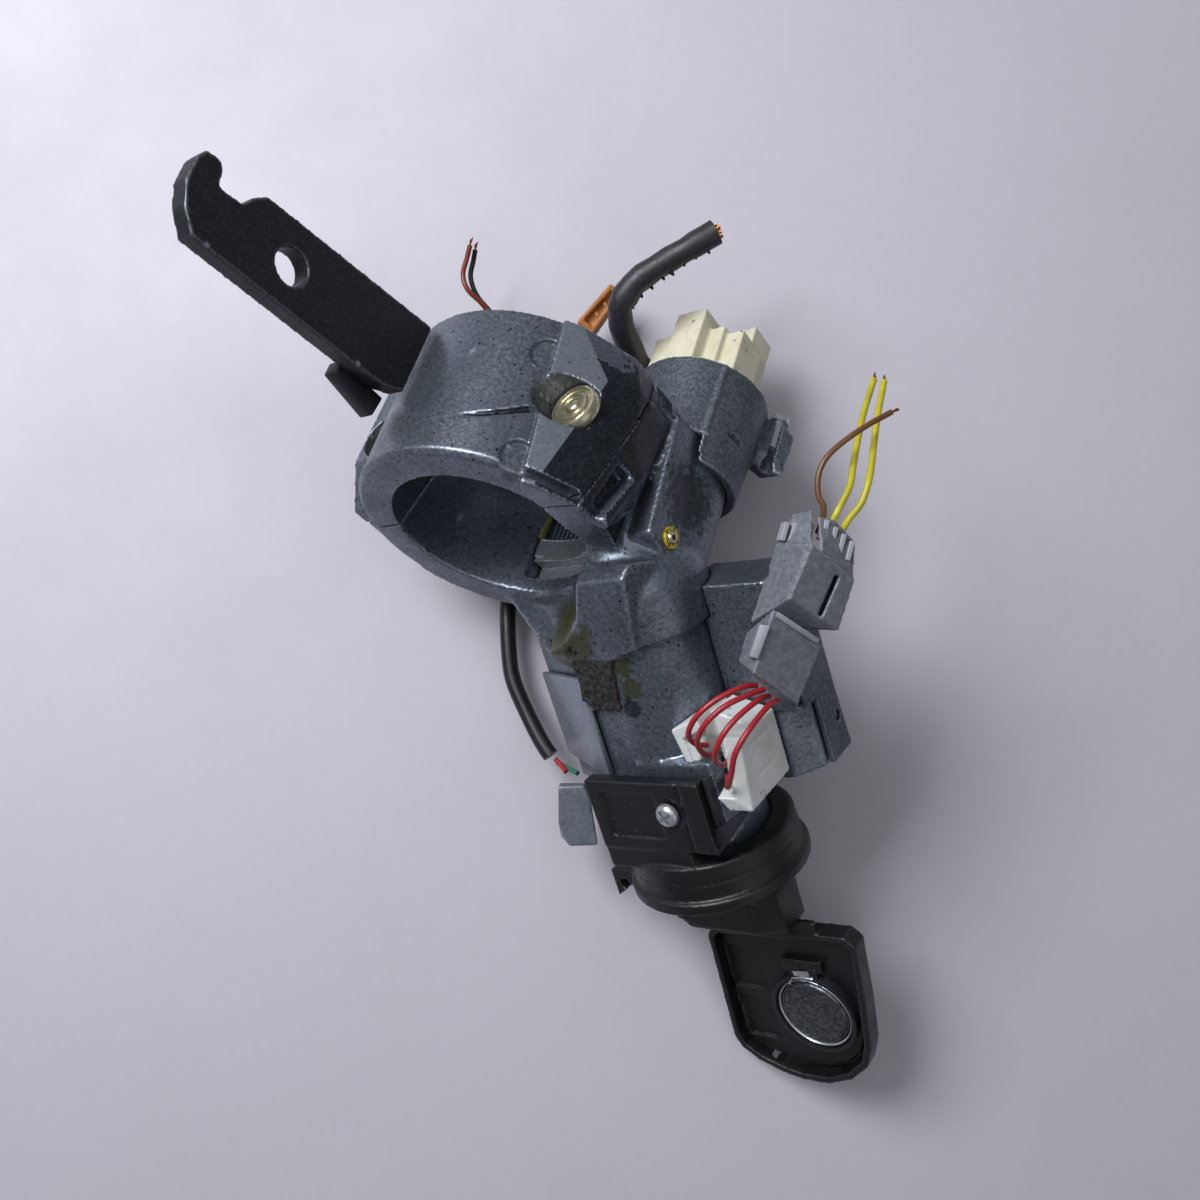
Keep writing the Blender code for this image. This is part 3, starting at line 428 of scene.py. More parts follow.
def solid(bm, where=None):
    """A mesh object from bmesh work in millimetres, put in its place in metres."""
    bmesh.ops.remove_doubles(bm, verts=bm.verts, dist=0.00005)
    bmesh.ops.recalc_face_normals(bm, faces=bm.faces)
    bmesh.ops.transform(bm, matrix=TO_METRES @ (where or LOCK), verts=bm.verts)
    mesh = bpy.data.meshes.new("shape")
    bm.to_mesh(mesh)
    bm.free()
    item = bpy.data.objects.new("shape", mesh)
    bpy.context.scene.collection.objects.link(item)
    return item


def prism(points, low, high, where=None):
    """A straight block over an outline, from low to high."""
    bm = bmesh.new()
    bottom = [bm.verts.new((x, y, low)) for x, y in points]
    top = [bm.verts.new((x, y, high)) for x, y in points]
    bm.faces.new(list(reversed(bottom)))
    bm.faces.new(top)
    for n in range(len(points)):
        m = (n + 1) % len(points)
        bm.faces.new((bottom[n], bottom[m], top[m], top[n]))
    return solid(bm, where)


def box(low, high, where=None):
    """A block between its lowest and its highest corner."""
    x0, y0, z0 = low
    x1, y1, z1 = high
    return prism(((x0, y0), (x1, y0), (x1, y1), (x0, y1)), z0, z1, where)


def turned(profile, centre, direction, where=None, segments=48, closed=False):
    """A turned solid from pairs of distance along the axis and radius."""
    axis = Vector(direction).normalized()
    helper = Vector((1, 0, 0)) if abs(axis.x) < 0.9 else Vector((0, 1, 0))
    u_dir = axis.cross(helper).normalized()
    v_dir = axis.cross(u_dir)
    bm = bmesh.new()
    rings = []
    for along, radius in profile:
        spot = Vector(centre) + axis * along
        if radius < 1e-6:
            rings.append([bm.verts.new(spot)])
            continue
        ring = []
        for n in range(segments):
            turn = 2 * math.pi * n / segments
            ring.append(bm.verts.new(spot + (u_dir * math.cos(turn) + v_dir * math.sin(turn))
                                     * radius))
        rings.append(ring)
    pairs = list(zip(rings, rings[1:]))
    if closed:
        pairs.append((rings[-1], rings[0]))
    for first, second in pairs:
        for n in range(segments):
            m = (n + 1) % segments
            if len(first) == 1:
                bm.faces.new((first[0], second[m], second[n]))
            elif len(second) == 1:
                bm.faces.new((first[n], first[m], second[0]))
            else:
                bm.faces.new((first[n], first[m], second[m], second[n]))
    if not closed:
        if len(rings[0]) > 1:
            bm.faces.new(rings[0])
        if len(rings[-1]) > 1:
            bm.faces.new(rings[-1])
    return solid(bm, where)


def rod(centre, direction, radius, low, high, where=None, segments=48):
    """A round bar or cutter along a line."""
    return turned(((low, radius), (high, radius)), centre, direction, where, segments)


def drum(radius, low, high, where=None, segments=48):
    """A round boss or cutter along a frame's own axis."""
    return rod(CENTRE, ALONG, radius, low, high, where, segments)


def wrap(points, where=None):
    """The tight convex block round some corner points."""
    bm = bmesh.new()
    result = bmesh.ops.convex_hull(bm, input=[bm.verts.new(p) for p in points])
    loose = [v for v in result["geom_interior"] if isinstance(v, bmesh.types.BMVert)]
    for vert in set(loose + [v for v in bm.verts if not v.link_faces]):
        if vert.is_valid:
            bm.verts.remove(vert)
    bmesh.ops.dissolve_limit(bm, angle_limit=0.01, verts=bm.verts, edges=bm.edges)
    return solid(bm, where)


def worked(item):
    """The object's modifiers worked into a plain mesh, and the modifiers removed."""
    graph = bpy.context.evaluated_depsgraph_get()
    mesh = bpy.data.meshes.new_from_object(item.evaluated_get(graph))
    item.modifiers.clear()
    item.data = mesh
    return item


def combine(base, added=(), taken=(), kept=None):
    """Joins, cuts and keeps, worked out one after another."""
    tools = []
    groups = [("UNION", added), ("DIFFERENCE", taken), ("INTERSECT", [kept] if kept else [])]
    for kind, group in groups:
        for tool in group:
            step = base.modifiers.new(kind.lower(), "BOOLEAN")
            step.operation = kind
            step.solver = "EXACT"
            step.object = tool
            tools.append(tool)
    worked(base)
    for tool in tools:
        bpy.data.objects.remove(tool, do_unlink=True)
    return base


def softened(item, edge, rounds=3, share=1.0, rough=0.0, seed=0):
    """Edges and joins softened all over, as a casting or moulding comes from its mould."""
    step = item.modifiers.new("skin", "REMESH")
    step.mode = "VOXEL"
    step.voxel_size = edge
    step.use_smooth_shade = True
    step = item.modifiers.new("smooth", "SMOOTH")
    step.factor = 0.5
    step.iterations = rounds
    if share < 1.0:
        step = item.modifiers.new("fewer", "DECIMATE")
        step.ratio = share
    worked(item)
    if rough:
        for vert in item.data.vertices:
            shift = noise.noise_vector(vert.co * 1000 / 1.6 + Vector((seed, 0, 0)))
            vert.co += shift * rough * MM
    item.data.shade_smooth()
    return item


def polished(item, angle):
    """Smooth shading, with edges sharper than the angle left crisp."""
    item.data.shade_smooth()
    item.data.set_sharp_from_angle(angle=angle)


def eased(item, width, segments=2, angle=0.6):
    """Crisp pieces with a small even edge."""
    step = item.modifiers.new("edge", "BEVEL")
    step.width = width * MM
    step.segments = segments
    step.limit_method = "ANGLE"
    step.angle_limit = angle
    step.harden_normals = False
    worked(item)
    polished(item, 0.7)
    return item


def smooth_run(run, step):
    """A smooth line through the points, sampled every few millimetres."""
    spots = [Vector(p) for p in run]
    ends = [spots[0] * 2 - spots[1]] + spots + [spots[-1] * 2 - spots[-2]]
    fine = [spots[0]]
    for n in range(1, len(ends) - 2):
        a, b, c, d = ends[n - 1:n + 3]
        pieces = max(1, round((c - b).length / step))
        for k in range(1, pieces + 1):
            t = k / pieces
            fine.append(0.5 * ((2 * b) + (c - a) * t + (2 * a - 5 * b + 4 * c - d) * t * t
                               + (3 * b - a - 3 * c + d) * t * t * t))
    return fine


def tube(run, radius, sides=12, wobble=0.0):
    """A closed tube along a run, uneven where it wobbles."""
    bm = bmesh.new()
    rings = []
    up = Vector((0.31, 0.22, 0.92))
    for n, spot in enumerate(run):
        ahead = (run[min(n + 1, len(run) - 1)] - run[max(n - 1, 0)]).normalized()
        side = ahead.cross(up).normalized()
        up = side.cross(ahead).normalized()
        wide = radius
        if wobble:
            wide *= 1 + wobble * noise.noise(spot * 0.45)
        ring = []
        for k in range(sides):
            turn = 2 * math.pi * k / sides
            ring.append(bm.verts.new(spot + (side * math.cos(turn) + up * math.sin(turn)) * wide))
        rings.append(ring)
    for first, second in zip(rings, rings[1:]):
        for k in range(sides):
            m = (k + 1) % sides
            bm.faces.new((first[k], first[m], second[m], second[k]))
    bm.faces.new(list(reversed(rings[0])))
    bm.faces.new(rings[-1])
    item = solid(bm, WORLD)
    polished(item, 1.0)
    return item


def keep(name, item, material, node=None, body="casting"):
    """Names a finished piece, dresses it, ties it to its body and hides the solid it stands for."""
    item.name = name
    item.data.name = name
    item.data.materials.clear()
    item.data.materials.append(material)
    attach(item, body)
    if node:
        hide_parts(node)
    return item


def joined(items):
    """Several finished meshes as one."""
    bm = bmesh.new()
    for item in items:
        bm.from_mesh(item.data)
    first = items[0]
    bm.to_mesh(first.data)
    bm.free()
    for item in items[1:]:
        bpy.data.objects.remove(item, do_unlink=True)
    return first


def row_tree():
    """Geometry Nodes that repeat one small bar along a line: count, step, bar size, turn."""
    tree = bpy.data.node_groups.get("row of bars")
    if tree:
        return tree
    tree = bpy.data.node_groups.new("row of bars", "GeometryNodeTree")
    face = tree.interface
    face.new_socket("Geometry", in_out="OUTPUT", socket_type="NodeSocketGeometry")
    for label, kind in (("Count", "NodeSocketInt"), ("Start", "NodeSocketVector"),
                        ("Step", "NodeSocketVector"), ("Bar size", "NodeSocketVector"),
                        ("Turn", "NodeSocketRotation"), ("Material", "NodeSocketMaterial")):
        face.new_socket(label, in_out="INPUT", socket_type=kind)
    given = tree.nodes.new("NodeGroupInput")
    line = add(tree, "GeometryNodeMeshLine", {"mode": "OFFSET"},
               {"Count": given.outputs["Count"], "Start Location": given.outputs["Start"],
                "Offset": given.outputs["Step"]})
    bar = add(tree, "GeometryNodeMeshCube", {}, {"Size": given.outputs["Bar size"]})
    placed = add(tree, "GeometryNodeInstanceOnPoints", {},
                 {"Points": line.outputs["Mesh"], "Instance": bar.outputs["Mesh"],
                  "Rotation": given.outputs["Turn"]})
    real = add(tree, "GeometryNodeRealizeInstances", {}, {"Geometry": placed.outputs[0]})
    dressed = add(tree, "GeometryNodeSetMaterial", {}, {"Geometry": real.outputs[0],
                                                        "Material": given.outputs["Material"]})
    end = tree.nodes.new("NodeGroupOutput")
    tree.links.new(dressed.outputs[0], end.inputs[0])
    return tree


def row(name, count, start, step, size, where, material):
    """One piece made of a row of bars, in the millimetres of its frame."""
    mesh = bpy.data.meshes.new(name)
    item = bpy.data.objects.new(name, mesh)
    bpy.context.scene.collection.objects.link(item)
    tree = row_tree()
    place = TO_METRES @ where
    wanted = {"Count": count, "Start": place @ Vector(start),
              "Step": place.to_3x3() @ Vector(step), "Bar size": Vector(size) * MM,
              "Turn": where.to_3x3().to_euler(), "Material": material}
    step_on = item.modifiers.new("row", "NODES")
    step_on.node_group = tree
    for entry in tree.interface.items_tree:
        if entry.in_out == "INPUT" and entry.name in wanted:
            step_on[entry.identifier] = wanted[entry.name]
    worked(item)
    bevel = item.modifiers.new("edge", "BEVEL")
    bevel.width = BAR_EDGE * MM
    bevel.segments = 1
    worked(item)
    return keep(name, item, material)


# The lock

def slanted_half(above):
    """The half space over or under the slanted parting of cap and housing."""
    shift = -0.15 if above else 0.15
    far = 90.0 if above else -120.0
    corners = []
    for x in (-60, 70):
        corners += [(x, 25.0 + shift, 60), (x, -10.0 + shift, -80), (x, far, 60), (x, far, -80)]
    return wrap(corners)


def right_ear(foot=True):
    """The ear's flat facet, its steep outer wall and its foot on the parting."""
    rise = Vector((0.75, 0.66, -0.01)) * FACET_RISE
    facet = [(25.0, 23.9, -43.2), (28.2, 20.3, -43.2), (32.0, 16.0, -34.6),
             (34.6, 13.1, -31.0), (33.4, 14.4, -22.5), (31.6, 16.4, -12.0), (29.8, 18.5, 1.4),
             (27.7, 20.8, 2.6)]
    top = [tuple(Vector(p) + rise) for p in facet]
    lower = [(36.6, 8.0, -42.6), (38.9, 5.6, -34.0), (39.2, 3.4, -24.7), (38.0, 8.0, -10.0),
             (37.0, 10.2, 2.4), (24.0, 21.0, -42.6), (26.2, 19.0, 2.2)]
    feet = [(20.0, -10.0, -42.9), (36.0, -10.0, -42.9), (38.9, -8.0, -34.0), (38.4, -6.0, -8.0),
            (36.0, 2.0, 1.6), (33.5, -3.0, 0.4), (24.0, -8.0, -0.2)]
    return wrap(top + lower + (feet if foot else []))


def left_ear():
    """The left ear: high round its bolt, falling towards the collar's front."""
    return wrap([(-26.0, 20.0, -41.0), (-38.0, 20.0, -41.0), (-38.0, 20.5, -14.5),
                 (-38.0, 14.4, -2.6), (-26.0, 14.4, -2.6), (-26.0, 20.5, -14.5),
                 (-24.0, -8.0, -41.0), (-36.0, -8.0, -41.0), (-38.0, -2.0, -41.0),
                 (-38.0, 0.0, -2.6), (-35.0, -6.0, -2.6), (-24.0, -8.0, -2.6)])


def facet_edges():
    """Two planes through the facet's right edge, above and below its widest place."""
    corners = []
    for turn, z in ((35.7, -43.2), (20.7, -31.0), (32.5, 2.0)):
        turn = math.radians(turn)
        corners.append(Vector((36.5 * math.cos(turn), 36.5 * math.sin(turn), z)))
    planes = []
    for first, second in zip(corners, corners[1:]):
        middle = (first + second) / 2
        across = (second - first).cross(Vector((middle.x, middle.y, 0))).normalized()
        planes.append((first, across if across.y > 0 else -across))
    return planes


def steep_wall(spot, normal):
    """The ear's outer side, down to the slot below the parting."""
    inside = all((spot - place).dot(across) > 0 for place, across in facet_edges())
    return (not inside and spot.x > 31.0 and -8 < spot.y < 20 and -36 < spot.z < 4
            and math.hypot(spot.x, spot.y) > 33 and normal.x > 0.7 and abs(normal.z) < 0.5)


def flat_facet(spot, normal):
    """The flat on the ear, between the planes through its edges."""
    inside = all((spot - place).dot(across) > 0 for place, across in facet_edges())
    return (inside and spot.x > 22.0 and spot.y > 10.0
            and math.hypot(spot.x, spot.y) > COLLAR_R + 0.25
            and normal.dot(Vector((0.75, 0.66, 0.0))) > 0.95)


def sunken(spot, normal):
    """The groove in the collar's round face, which is given painted shade."""
    turn = math.degrees(math.atan2(spot.y, spot.x))
    return (BORE_R + 4 < math.hypot(spot.x, spot.y) < COLLAR_R - 0.15 and 38 < turn < 71
            and -21 < spot.z < -9 and math.hypot(spot.x - BOLT_X, spot.z - BOLT_Z) > 8.0)


def dimpled(spot, normal):
    """The two shallow pockets beside the facet."""
    for across, up, z in DIMPLES:
        out = Vector((across, up, 0)).normalized()
        away = spot - Vector((0, 0, z))
        if (away - out * away.dot(out)).length < sizes().dimple_radius / MM + 0.1:
            return BORE_R + 4 < math.hypot(spot.x, spot.y) < COLLAR_R - 0.2
    return False


def split(item, planes):
    """Cut a mesh's faces along planes of the lock frame, so that two finishes meet on a line."""
    bm = bmesh.new()
    bm.from_mesh(item.data)
    where = TO_METRES @ LOCK
    for place, across in planes:
        bmesh.ops.bisect_plane(bm, geom=bm.verts[:] + bm.edges[:] + bm.faces[:],
                               plane_co=where @ place, dist=1e-7,
                               plane_no=(LOCK.to_3x3() @ across).normalized())
    bm.to_mesh(item.data)
    bm.free()


def repaint(item, material, chosen):
    """Give a second finish to the faces that a test on place and normal picks."""
    back = (TO_METRES @ LOCK).inverted()
    turn = LOCK.to_3x3().inverted()
    item.data.materials.append(material)
    slot = len(item.data.materials) - 1
    for face in item.data.polygons:
        if chosen(back @ face.center, turn @ face.normal):
            face.material_index = slot


def tapered_groove():
    """One cutter for the groove that widens towards the ear."""
    depth = sizes().groove_depth / MM
    bm = bmesh.new()
    sections = []
    for n in range(13):
        t = n / 12
        turn = math.radians(68.5 - 29.0 * t)
        half = 0.5 + 0.75 * t
        z = -10.8 - 3.0 * t - 4.7 * t * t
        section = []
        for radius, side in ((COLLAR_R - depth * (0.35 + 0.65 * t), -half * 0.6),
                             (COLLAR_R + 2.5, -half * 1.6), (COLLAR_R + 2.5, half * 1.6),
                             (COLLAR_R - depth * (0.35 + 0.65 * t), half * 0.6)):
            section.append(bm.verts.new((radius * math.cos(turn), radius * math.sin(turn),
                                         z + side)))
        sections.append(section)
    for first, second in zip(sections, sections[1:]):
        for k in range(4):
            m = (k + 1) % 4
            bm.faces.new((first[k], first[m], second[m], second[k]))
    bm.faces.new(list(reversed(sections[0])))
    bm.faces.new(sections[-1])
    return solid(bm, LOCK)


def bolt_holes(top):
    """Cutters for the two bolts; those of the cap have a recess for the head too."""
    tools = []
    for x in (BOLT_X, -BOLT_X):
        if top:
            tools.append(rod((x, 0, BOLT_Z), UP, COUNTERBORE_R, 14.0, 60))
        tools.append(rod((x, 0, BOLT_Z), UP, BOLT_HOLE_R, -12, 30, segments=24))
    return tools


class SWITCH_OT_clamp(bpy.types.Operator):
    """Build the clamp cap, its bolts, and the steel bracket bar"""
    bl_idname = "switch.clamp"
    bl_label = "Clamp cap and bracket"

    def execute(self, context):
        edge = sizes().cast_edge
        dimple = sizes().dimple_radius / MM
        taken = [slanted_half(False), drum(BORE_R, -60, 60, segments=96)]
        taken += bolt_holes(True)
        rim = turned(((-1.4, COLLAR_R + 3), (-1.4, COLLAR_R), (0.0, COLLAR_R - 1.3),
                      (1.0, COLLAR_R - 1.8), (1.0, COLLAR_R + 3)), CENTRE, ALONG, LOCK, 96,
                     True)
        cap = combine(drum(COLLAR_R, -COLLAR_LEN, 0, segments=96),
                      [right_ear(), left_ear()], taken)
        for across, up, z in DIMPLES:
            pocket = rod((0, 0, z), (across, up, 0), dimple, COLLAR_R - DIMPLE_DEPTH, COLLAR_R + 2)
            pocket = combine(pocket, [], [right_ear(False)])
            cap = combine(cap, [], [pocket])
        for cutter in (rim, tapered_groove()):
            cap = combine(cap, [], [cutter])
        softened(cap, edge * 0.6, 1, 0.6)
        cap = keep("clamp_cap_casting", cap, cast_metal(), "clamp_cap")
        split(cap, facet_edges())
        # The ear's outer wall, turned from the light, gets painted shade.
        repaint(cap, shadowed_metal(), steep_wall)
        # The flat facet, facing the light, gets a painted highlight.
        repaint(cap, painted_highlight_metal(), flat_facet)
        # The groove gets painted shade.
        repaint(cap, shadowed_metal(), sunken)
        # The dimples get painted shade.
        repaint(cap, painted_shade_metal(), dimpled)

        side = LOCK @ SIDEWAYS
        outline = [(34.6, -41.0), (86.1, -33.6), (88.6, -30.8), (90.0, -27.2), (96.0, -26.2),
                   (97.0, -30.3), (99.0, -31.6), (102.0, -30.9), (103.0, -28.0), (102.6, -22.0),
                   (99.9, -16.4), (95.8, -12.2), (49.7, -16.6), (40.0, -18.0), (34.6, -20.5)]
        bar = combine(prism(outline, -13.9, -8.6, side), [],
                      [rod((73.9, -24.4, 0), ALONG, 4.4, -40, 10, side)])
        softened(bar, 0.0005, 3, 0.6)
        keep("bracket_plate", bar, coated_steel(), "bracket_bar")
        web = prism([(35.4, -19.0), (36.0, -13.0), (50.0, -15.2), (50.0, -19.0)], -18.9, -14.2,
                    side)
        eased(web, 0.6)
        keep("bracket_web", web, surface("black coated steel, unworn", colours().coated,
                                         linear("#101114"), linear("#3b3e44"), 0.3, 0.45,
                                         grain=0.7, grain_mix=0.1, blotch=11),
             "bracket_gusset")

        for label, x in (("right", BOLT_X), ("left", -BOLT_X)):
            bolt = turned(((-8.0, 3.2), (-7.4, 3.4), (14.3, 3.4), (14.3, 5.9), (14.7, 6.3),
                           (16.4, 6.3), (17.2, 5.9), (17.2, 5.4), (16.7, 5.2), (16.7, 4.1),
                           (17.2, 3.9), (17.2, 3.2), (16.8, 3.0), (16.8, 2.0), (17.5, 1.8),
                           (17.9, 1.1), (17.7, 0.0)), (x, 0, BOLT_Z), UP)
            polished(bolt, 0.8)
            name = "shear_bolt_" + label
            keep(name + "_head", bolt, plated_steel(), name)
        return {"FINISHED"}


class SWITCH_OT_housing(bpy.types.Operator):
    """Build the main casting with its barrel, neck and broken gate"""
    bl_idname = "switch.housing"
    bl_label = "Lock housing"

    def execute(self, context):
        edge = sizes().cast_edge
        neck = wrap([(-17.5, -26.4, -1.5), (16, -26.4, -1.5), (21.5, -26.4, 5.6),
                     (33.2, -26.4, 19.6), (28.3, -26.4, 20.9), (8.0, -26.4, 19.9),
                     (-18, -34, -1.0), (9, -36, 18.5), (36, -38, 16), (21, -53, -1),
                     (-12, -53, -2), (-12, -53, -19), (18, -53, -19), (-18, -26, -30),
                     (30, -26, -30), (23.7, -26.4, -2.3)])
        shell = prism([(-38, 0.4), (-14, 13.4), (0, 15.6), (0, -15), (-30, -15), (-38, -7)],
                      -80, -26, BARREL)
        added = [right_ear(), left_ear(), neck,
                 rod((38.0, -3.9, -15.6), (0, 6.8, 18.4), 1.7, -2.0, 19.0, segments=24),
                 wrap([(18, -30, -38), (40, -27, -38), (40.6, -8, -38), (18, -8, -38),
                       (18, -30, -1), (41.2, -26, -1), (41.2, -10, -4), (18, -10, -1)]),
                 rod(SWITCH_SPOT, ALONG, 15.4, -36, 5),
                 turned(((-104, 7.0), (-93, 12.5), (-86, 17.0), (-83, 18.2), (-71.0, 18.2)),
                        CENTRE, ALONG, BARREL, 72),
                 wrap([(x, h, z) for x, z, h in
                       ((-18.2, -70.6, 18.4), (5.4, -70.4, 18.9), (7.9, -71.1, 18.4),
                        (4.8, -83.2, 19.0), (11.0, -89.6, 18.4), (-26.6, -88.4, 18.4),
                        (-18.6, -73.6, 18.4), (11.7, -92.0, 15.0), (-25.0, -92.0, 13.0),
                        (-18.0, -70.6, 8.0), (-26.0, -88.0, 8.0), (10.5, -71.0, 10.0),
                        (14.0, -90.0, 8.0))], BARREL),
                 drum(16.4, -74.0, -2.0, BARREL, 72), shell,
                 prism([(-4, 10), (18.3, 10), (18.3, 16.8), (-4, 16.8)], -40, -18, BARREL),
                 prism([(-14, 12), (-3, 12), (-3, 16.2), (-14, 15.6)], -69, -54, BARREL)]
        rim = turned(((-1.2, COLLAR_R + 3), (-1.2, COLLAR_R), (0.0, COLLAR_R - 1.2),
                      (0.6, COLLAR_R - 1.6), (0.6, COLLAR_R + 3)), CENTRE, ALONG, LOCK, 96,
                     True)
        keep_rim = box((-60, -9, -5), (24, 30, 5))
        rim = combine(rim, [], [], keep_rim)
        taken = [slanted_half(True), drum(BORE_R, -90, 0.4, segments=96),
                 drum(20.5, 0, 90, segments=72),
                 drum(11.4, -61, 10, BARREL),
                 drum(9.6, -74, -58, BARREL),
                 drum(6.8, -86, -70, BARREL),
                 rod(SWITCH_SPOT, ALONG, 6.8, -50, 2),
                 box((-9.9, -51, -17.4), (13.9, -20, -4.6)), box((11.0, -51, -17.4),
                                                                 (18.8, -30.4, 3.2)),
                 prism([(-7.0, -17.0), (-5.2, -21.2), (-1.0, -23.9), (6.0, -25.0), (14.0, -22.4),
                        (20.6, -17.2), (24.0, -9.0), (10, -4), (-7, -9)], -0.2, 30),
                 prism([(-9.0, -20), (-8.4, -27.4), (2.0, -27.4), (3.4, -24), (3.4, -20)],
                       -25.5, -17.0),
                 rod(ROLL_PIN, ACROSS, 3.0, 41.2, 60),
                 rod(ROLL_PIN, ACROSS, 1.75, 36, 60, segments=16),
                 rod(PLUNGER_SPOT, ACROSS, 2.4, 9, 30, SOLENOID, 20),
                 rod(PLATE_SCREW, UP, 2.1, 8, 30, BARREL, 16), rim,
                 wrap([(34.9, -1.6, -14), (34.9, 3.4, -14), (45, 3.8, -14), (45, -1.6, -14),
                       (34.0, 3.6, -1.0), (34.0, 6.4, -1.0), (45, 6.8, -1.0), (45, 3.6, -1.0)])]
        taken += bolt_holes(False)
        housing = combine(drum(COLLAR_R, -COLLAR_LEN, 0, segments=96),
                          added, taken)
        softened(housing, edge, 2, 0.55)
        housing = keep("lock_casting", housing, cast_metal(), "lock_housing")
        split(housing, [(Vector((0, 0, -36)), Vector((0, 0, 1))),
                        (Vector((0, -8, 0)), Vector((0, 1, 0)))])
        # The ear's outer wall, turned from the light, gets painted shade.
        repaint(housing, shadowed_metal(), steep_wall)

        gate = wrap([(-13.4, 16.9, -69.0), (-0.8, 17.3, -68.8), (-14.4, 16.6, -57.5),
                     (-11.4, 16.6, -54.4), (-3.2, 17.0, -54.4), (-13.4, 12, -69.0),
                     (-0.8, 12, -68.8), (-14.4, 12, -57.5), (-11.4, 12, -54.4), (-3.2, 12, -54.4)],
                    BARREL)
        softened(gate, 0.0004, 1, 1.0, rough=0.45, seed=3)
        keep("broken_gate", gate, broken_metal())
        skin = wrap([(-38.3, 0.7, -58.5), (-14.3, 13.8, -62.5), (-15.0, 15.1, -62.5),
                     (-39.0, 2.0, -58.5), (-38.3, 0.7, -33.5), (-14.3, 13.8, -33.5),
                     (-15.0, 15.1, -33.5), (-39.0, 2.0, -33.5)], BARREL)
        eased(skin, 0.4)
        keep("gallery_plate", skin, cast_metal(), "gallery_lid")
        return {"FINISHED"}


class SWITCH_OT_lock_bolt(bpy.types.Operator):
    """Build the sliding lock bolt, the ribs beside it and the roll pin"""
    bl_idname = "switch.lock_bolt"
    bl_label = "Lock bolt"

    def execute(self, context):
        body = box((-9.5, -42, -17), (13.5, -20.0, -5))
        arm = box((11.5, -41.9, -16.0), (18.0, -37.0, 2.2))
        cuts = [drum(BORE_R + 0.3, -60, 60, segments=96),
                rod((-2, 0, -12.5), UP, 3.0, -60, -30.4, segments=20),
                box((-18, -28.6, -10), (22, -10, 9)),
                wrap([(-12, -26.0, -11.2), (16, -26.0, -11.2), (-12, -20, -6), (16, -20, -6),
                      (-12, -20, -11.2), (16, -20, -11.2)])]
        bolt = combine(body, [arm], cuts)
        softened(bolt, 0.0004, 2, 0.8)
        keep("lock_bolt_steel", bolt, bright_steel(), "lock_bolt", "bolt")
        # The ribs in the window recess are in painted shade.
        row("window_ribs", 6, (-7.4, -27.3, -21.3), (sizes().rib_pitch / MM, 0.0, 0.0),
            (0.6, 0.9, 7.6), LOCK, painted_shade_metal())
        smear = tube([LOCK @ Vector(p) for p in ((-9.8, -25.0, -17.0), (-9.6, -25.0, -20),
                                                 (-9.2, -25.1, -23), (-9.0, -24.9, -26))], 0.9,
                     wobble=0.9)
        keep("window_grease", smear, grease())
        pin = turned(((36.4, 1.3), (36.8, 1.6), (41.9, 1.6), (42.3, 1.3), (42.3, 0.8),
                      (40.5, 0.7)), ROLL_PIN, ACROSS, LOCK, 24)
        polished(pin, 0.8)
        keep("roll_pin_plated", pin, plated_steel(), "roll_pin")
        collar = combine(rod(ROLL_PIN, ACROSS, 2.75, 40.7, 41.9, LOCK, 40), [],
                         [rod(ROLL_PIN, ACROSS, 1.7, 38, 44, LOCK, 24),
                          box((41.3, -21, -7.75), (44, -14, -6.85)),
                          box((41.3, -18.15, -11), (44, -17.25, -4))])
        eased(collar, 0.12, 1)
        keep("pin_paint_ring", collar, surface("yellow marking paint", linear("#b7a532"),
                                               linear("#4e4718"), None, 0.0, 0.4, grain=0.6,
                                               blotch=1.6, blotch_mix=0.7))
        return {"FINISHED"}


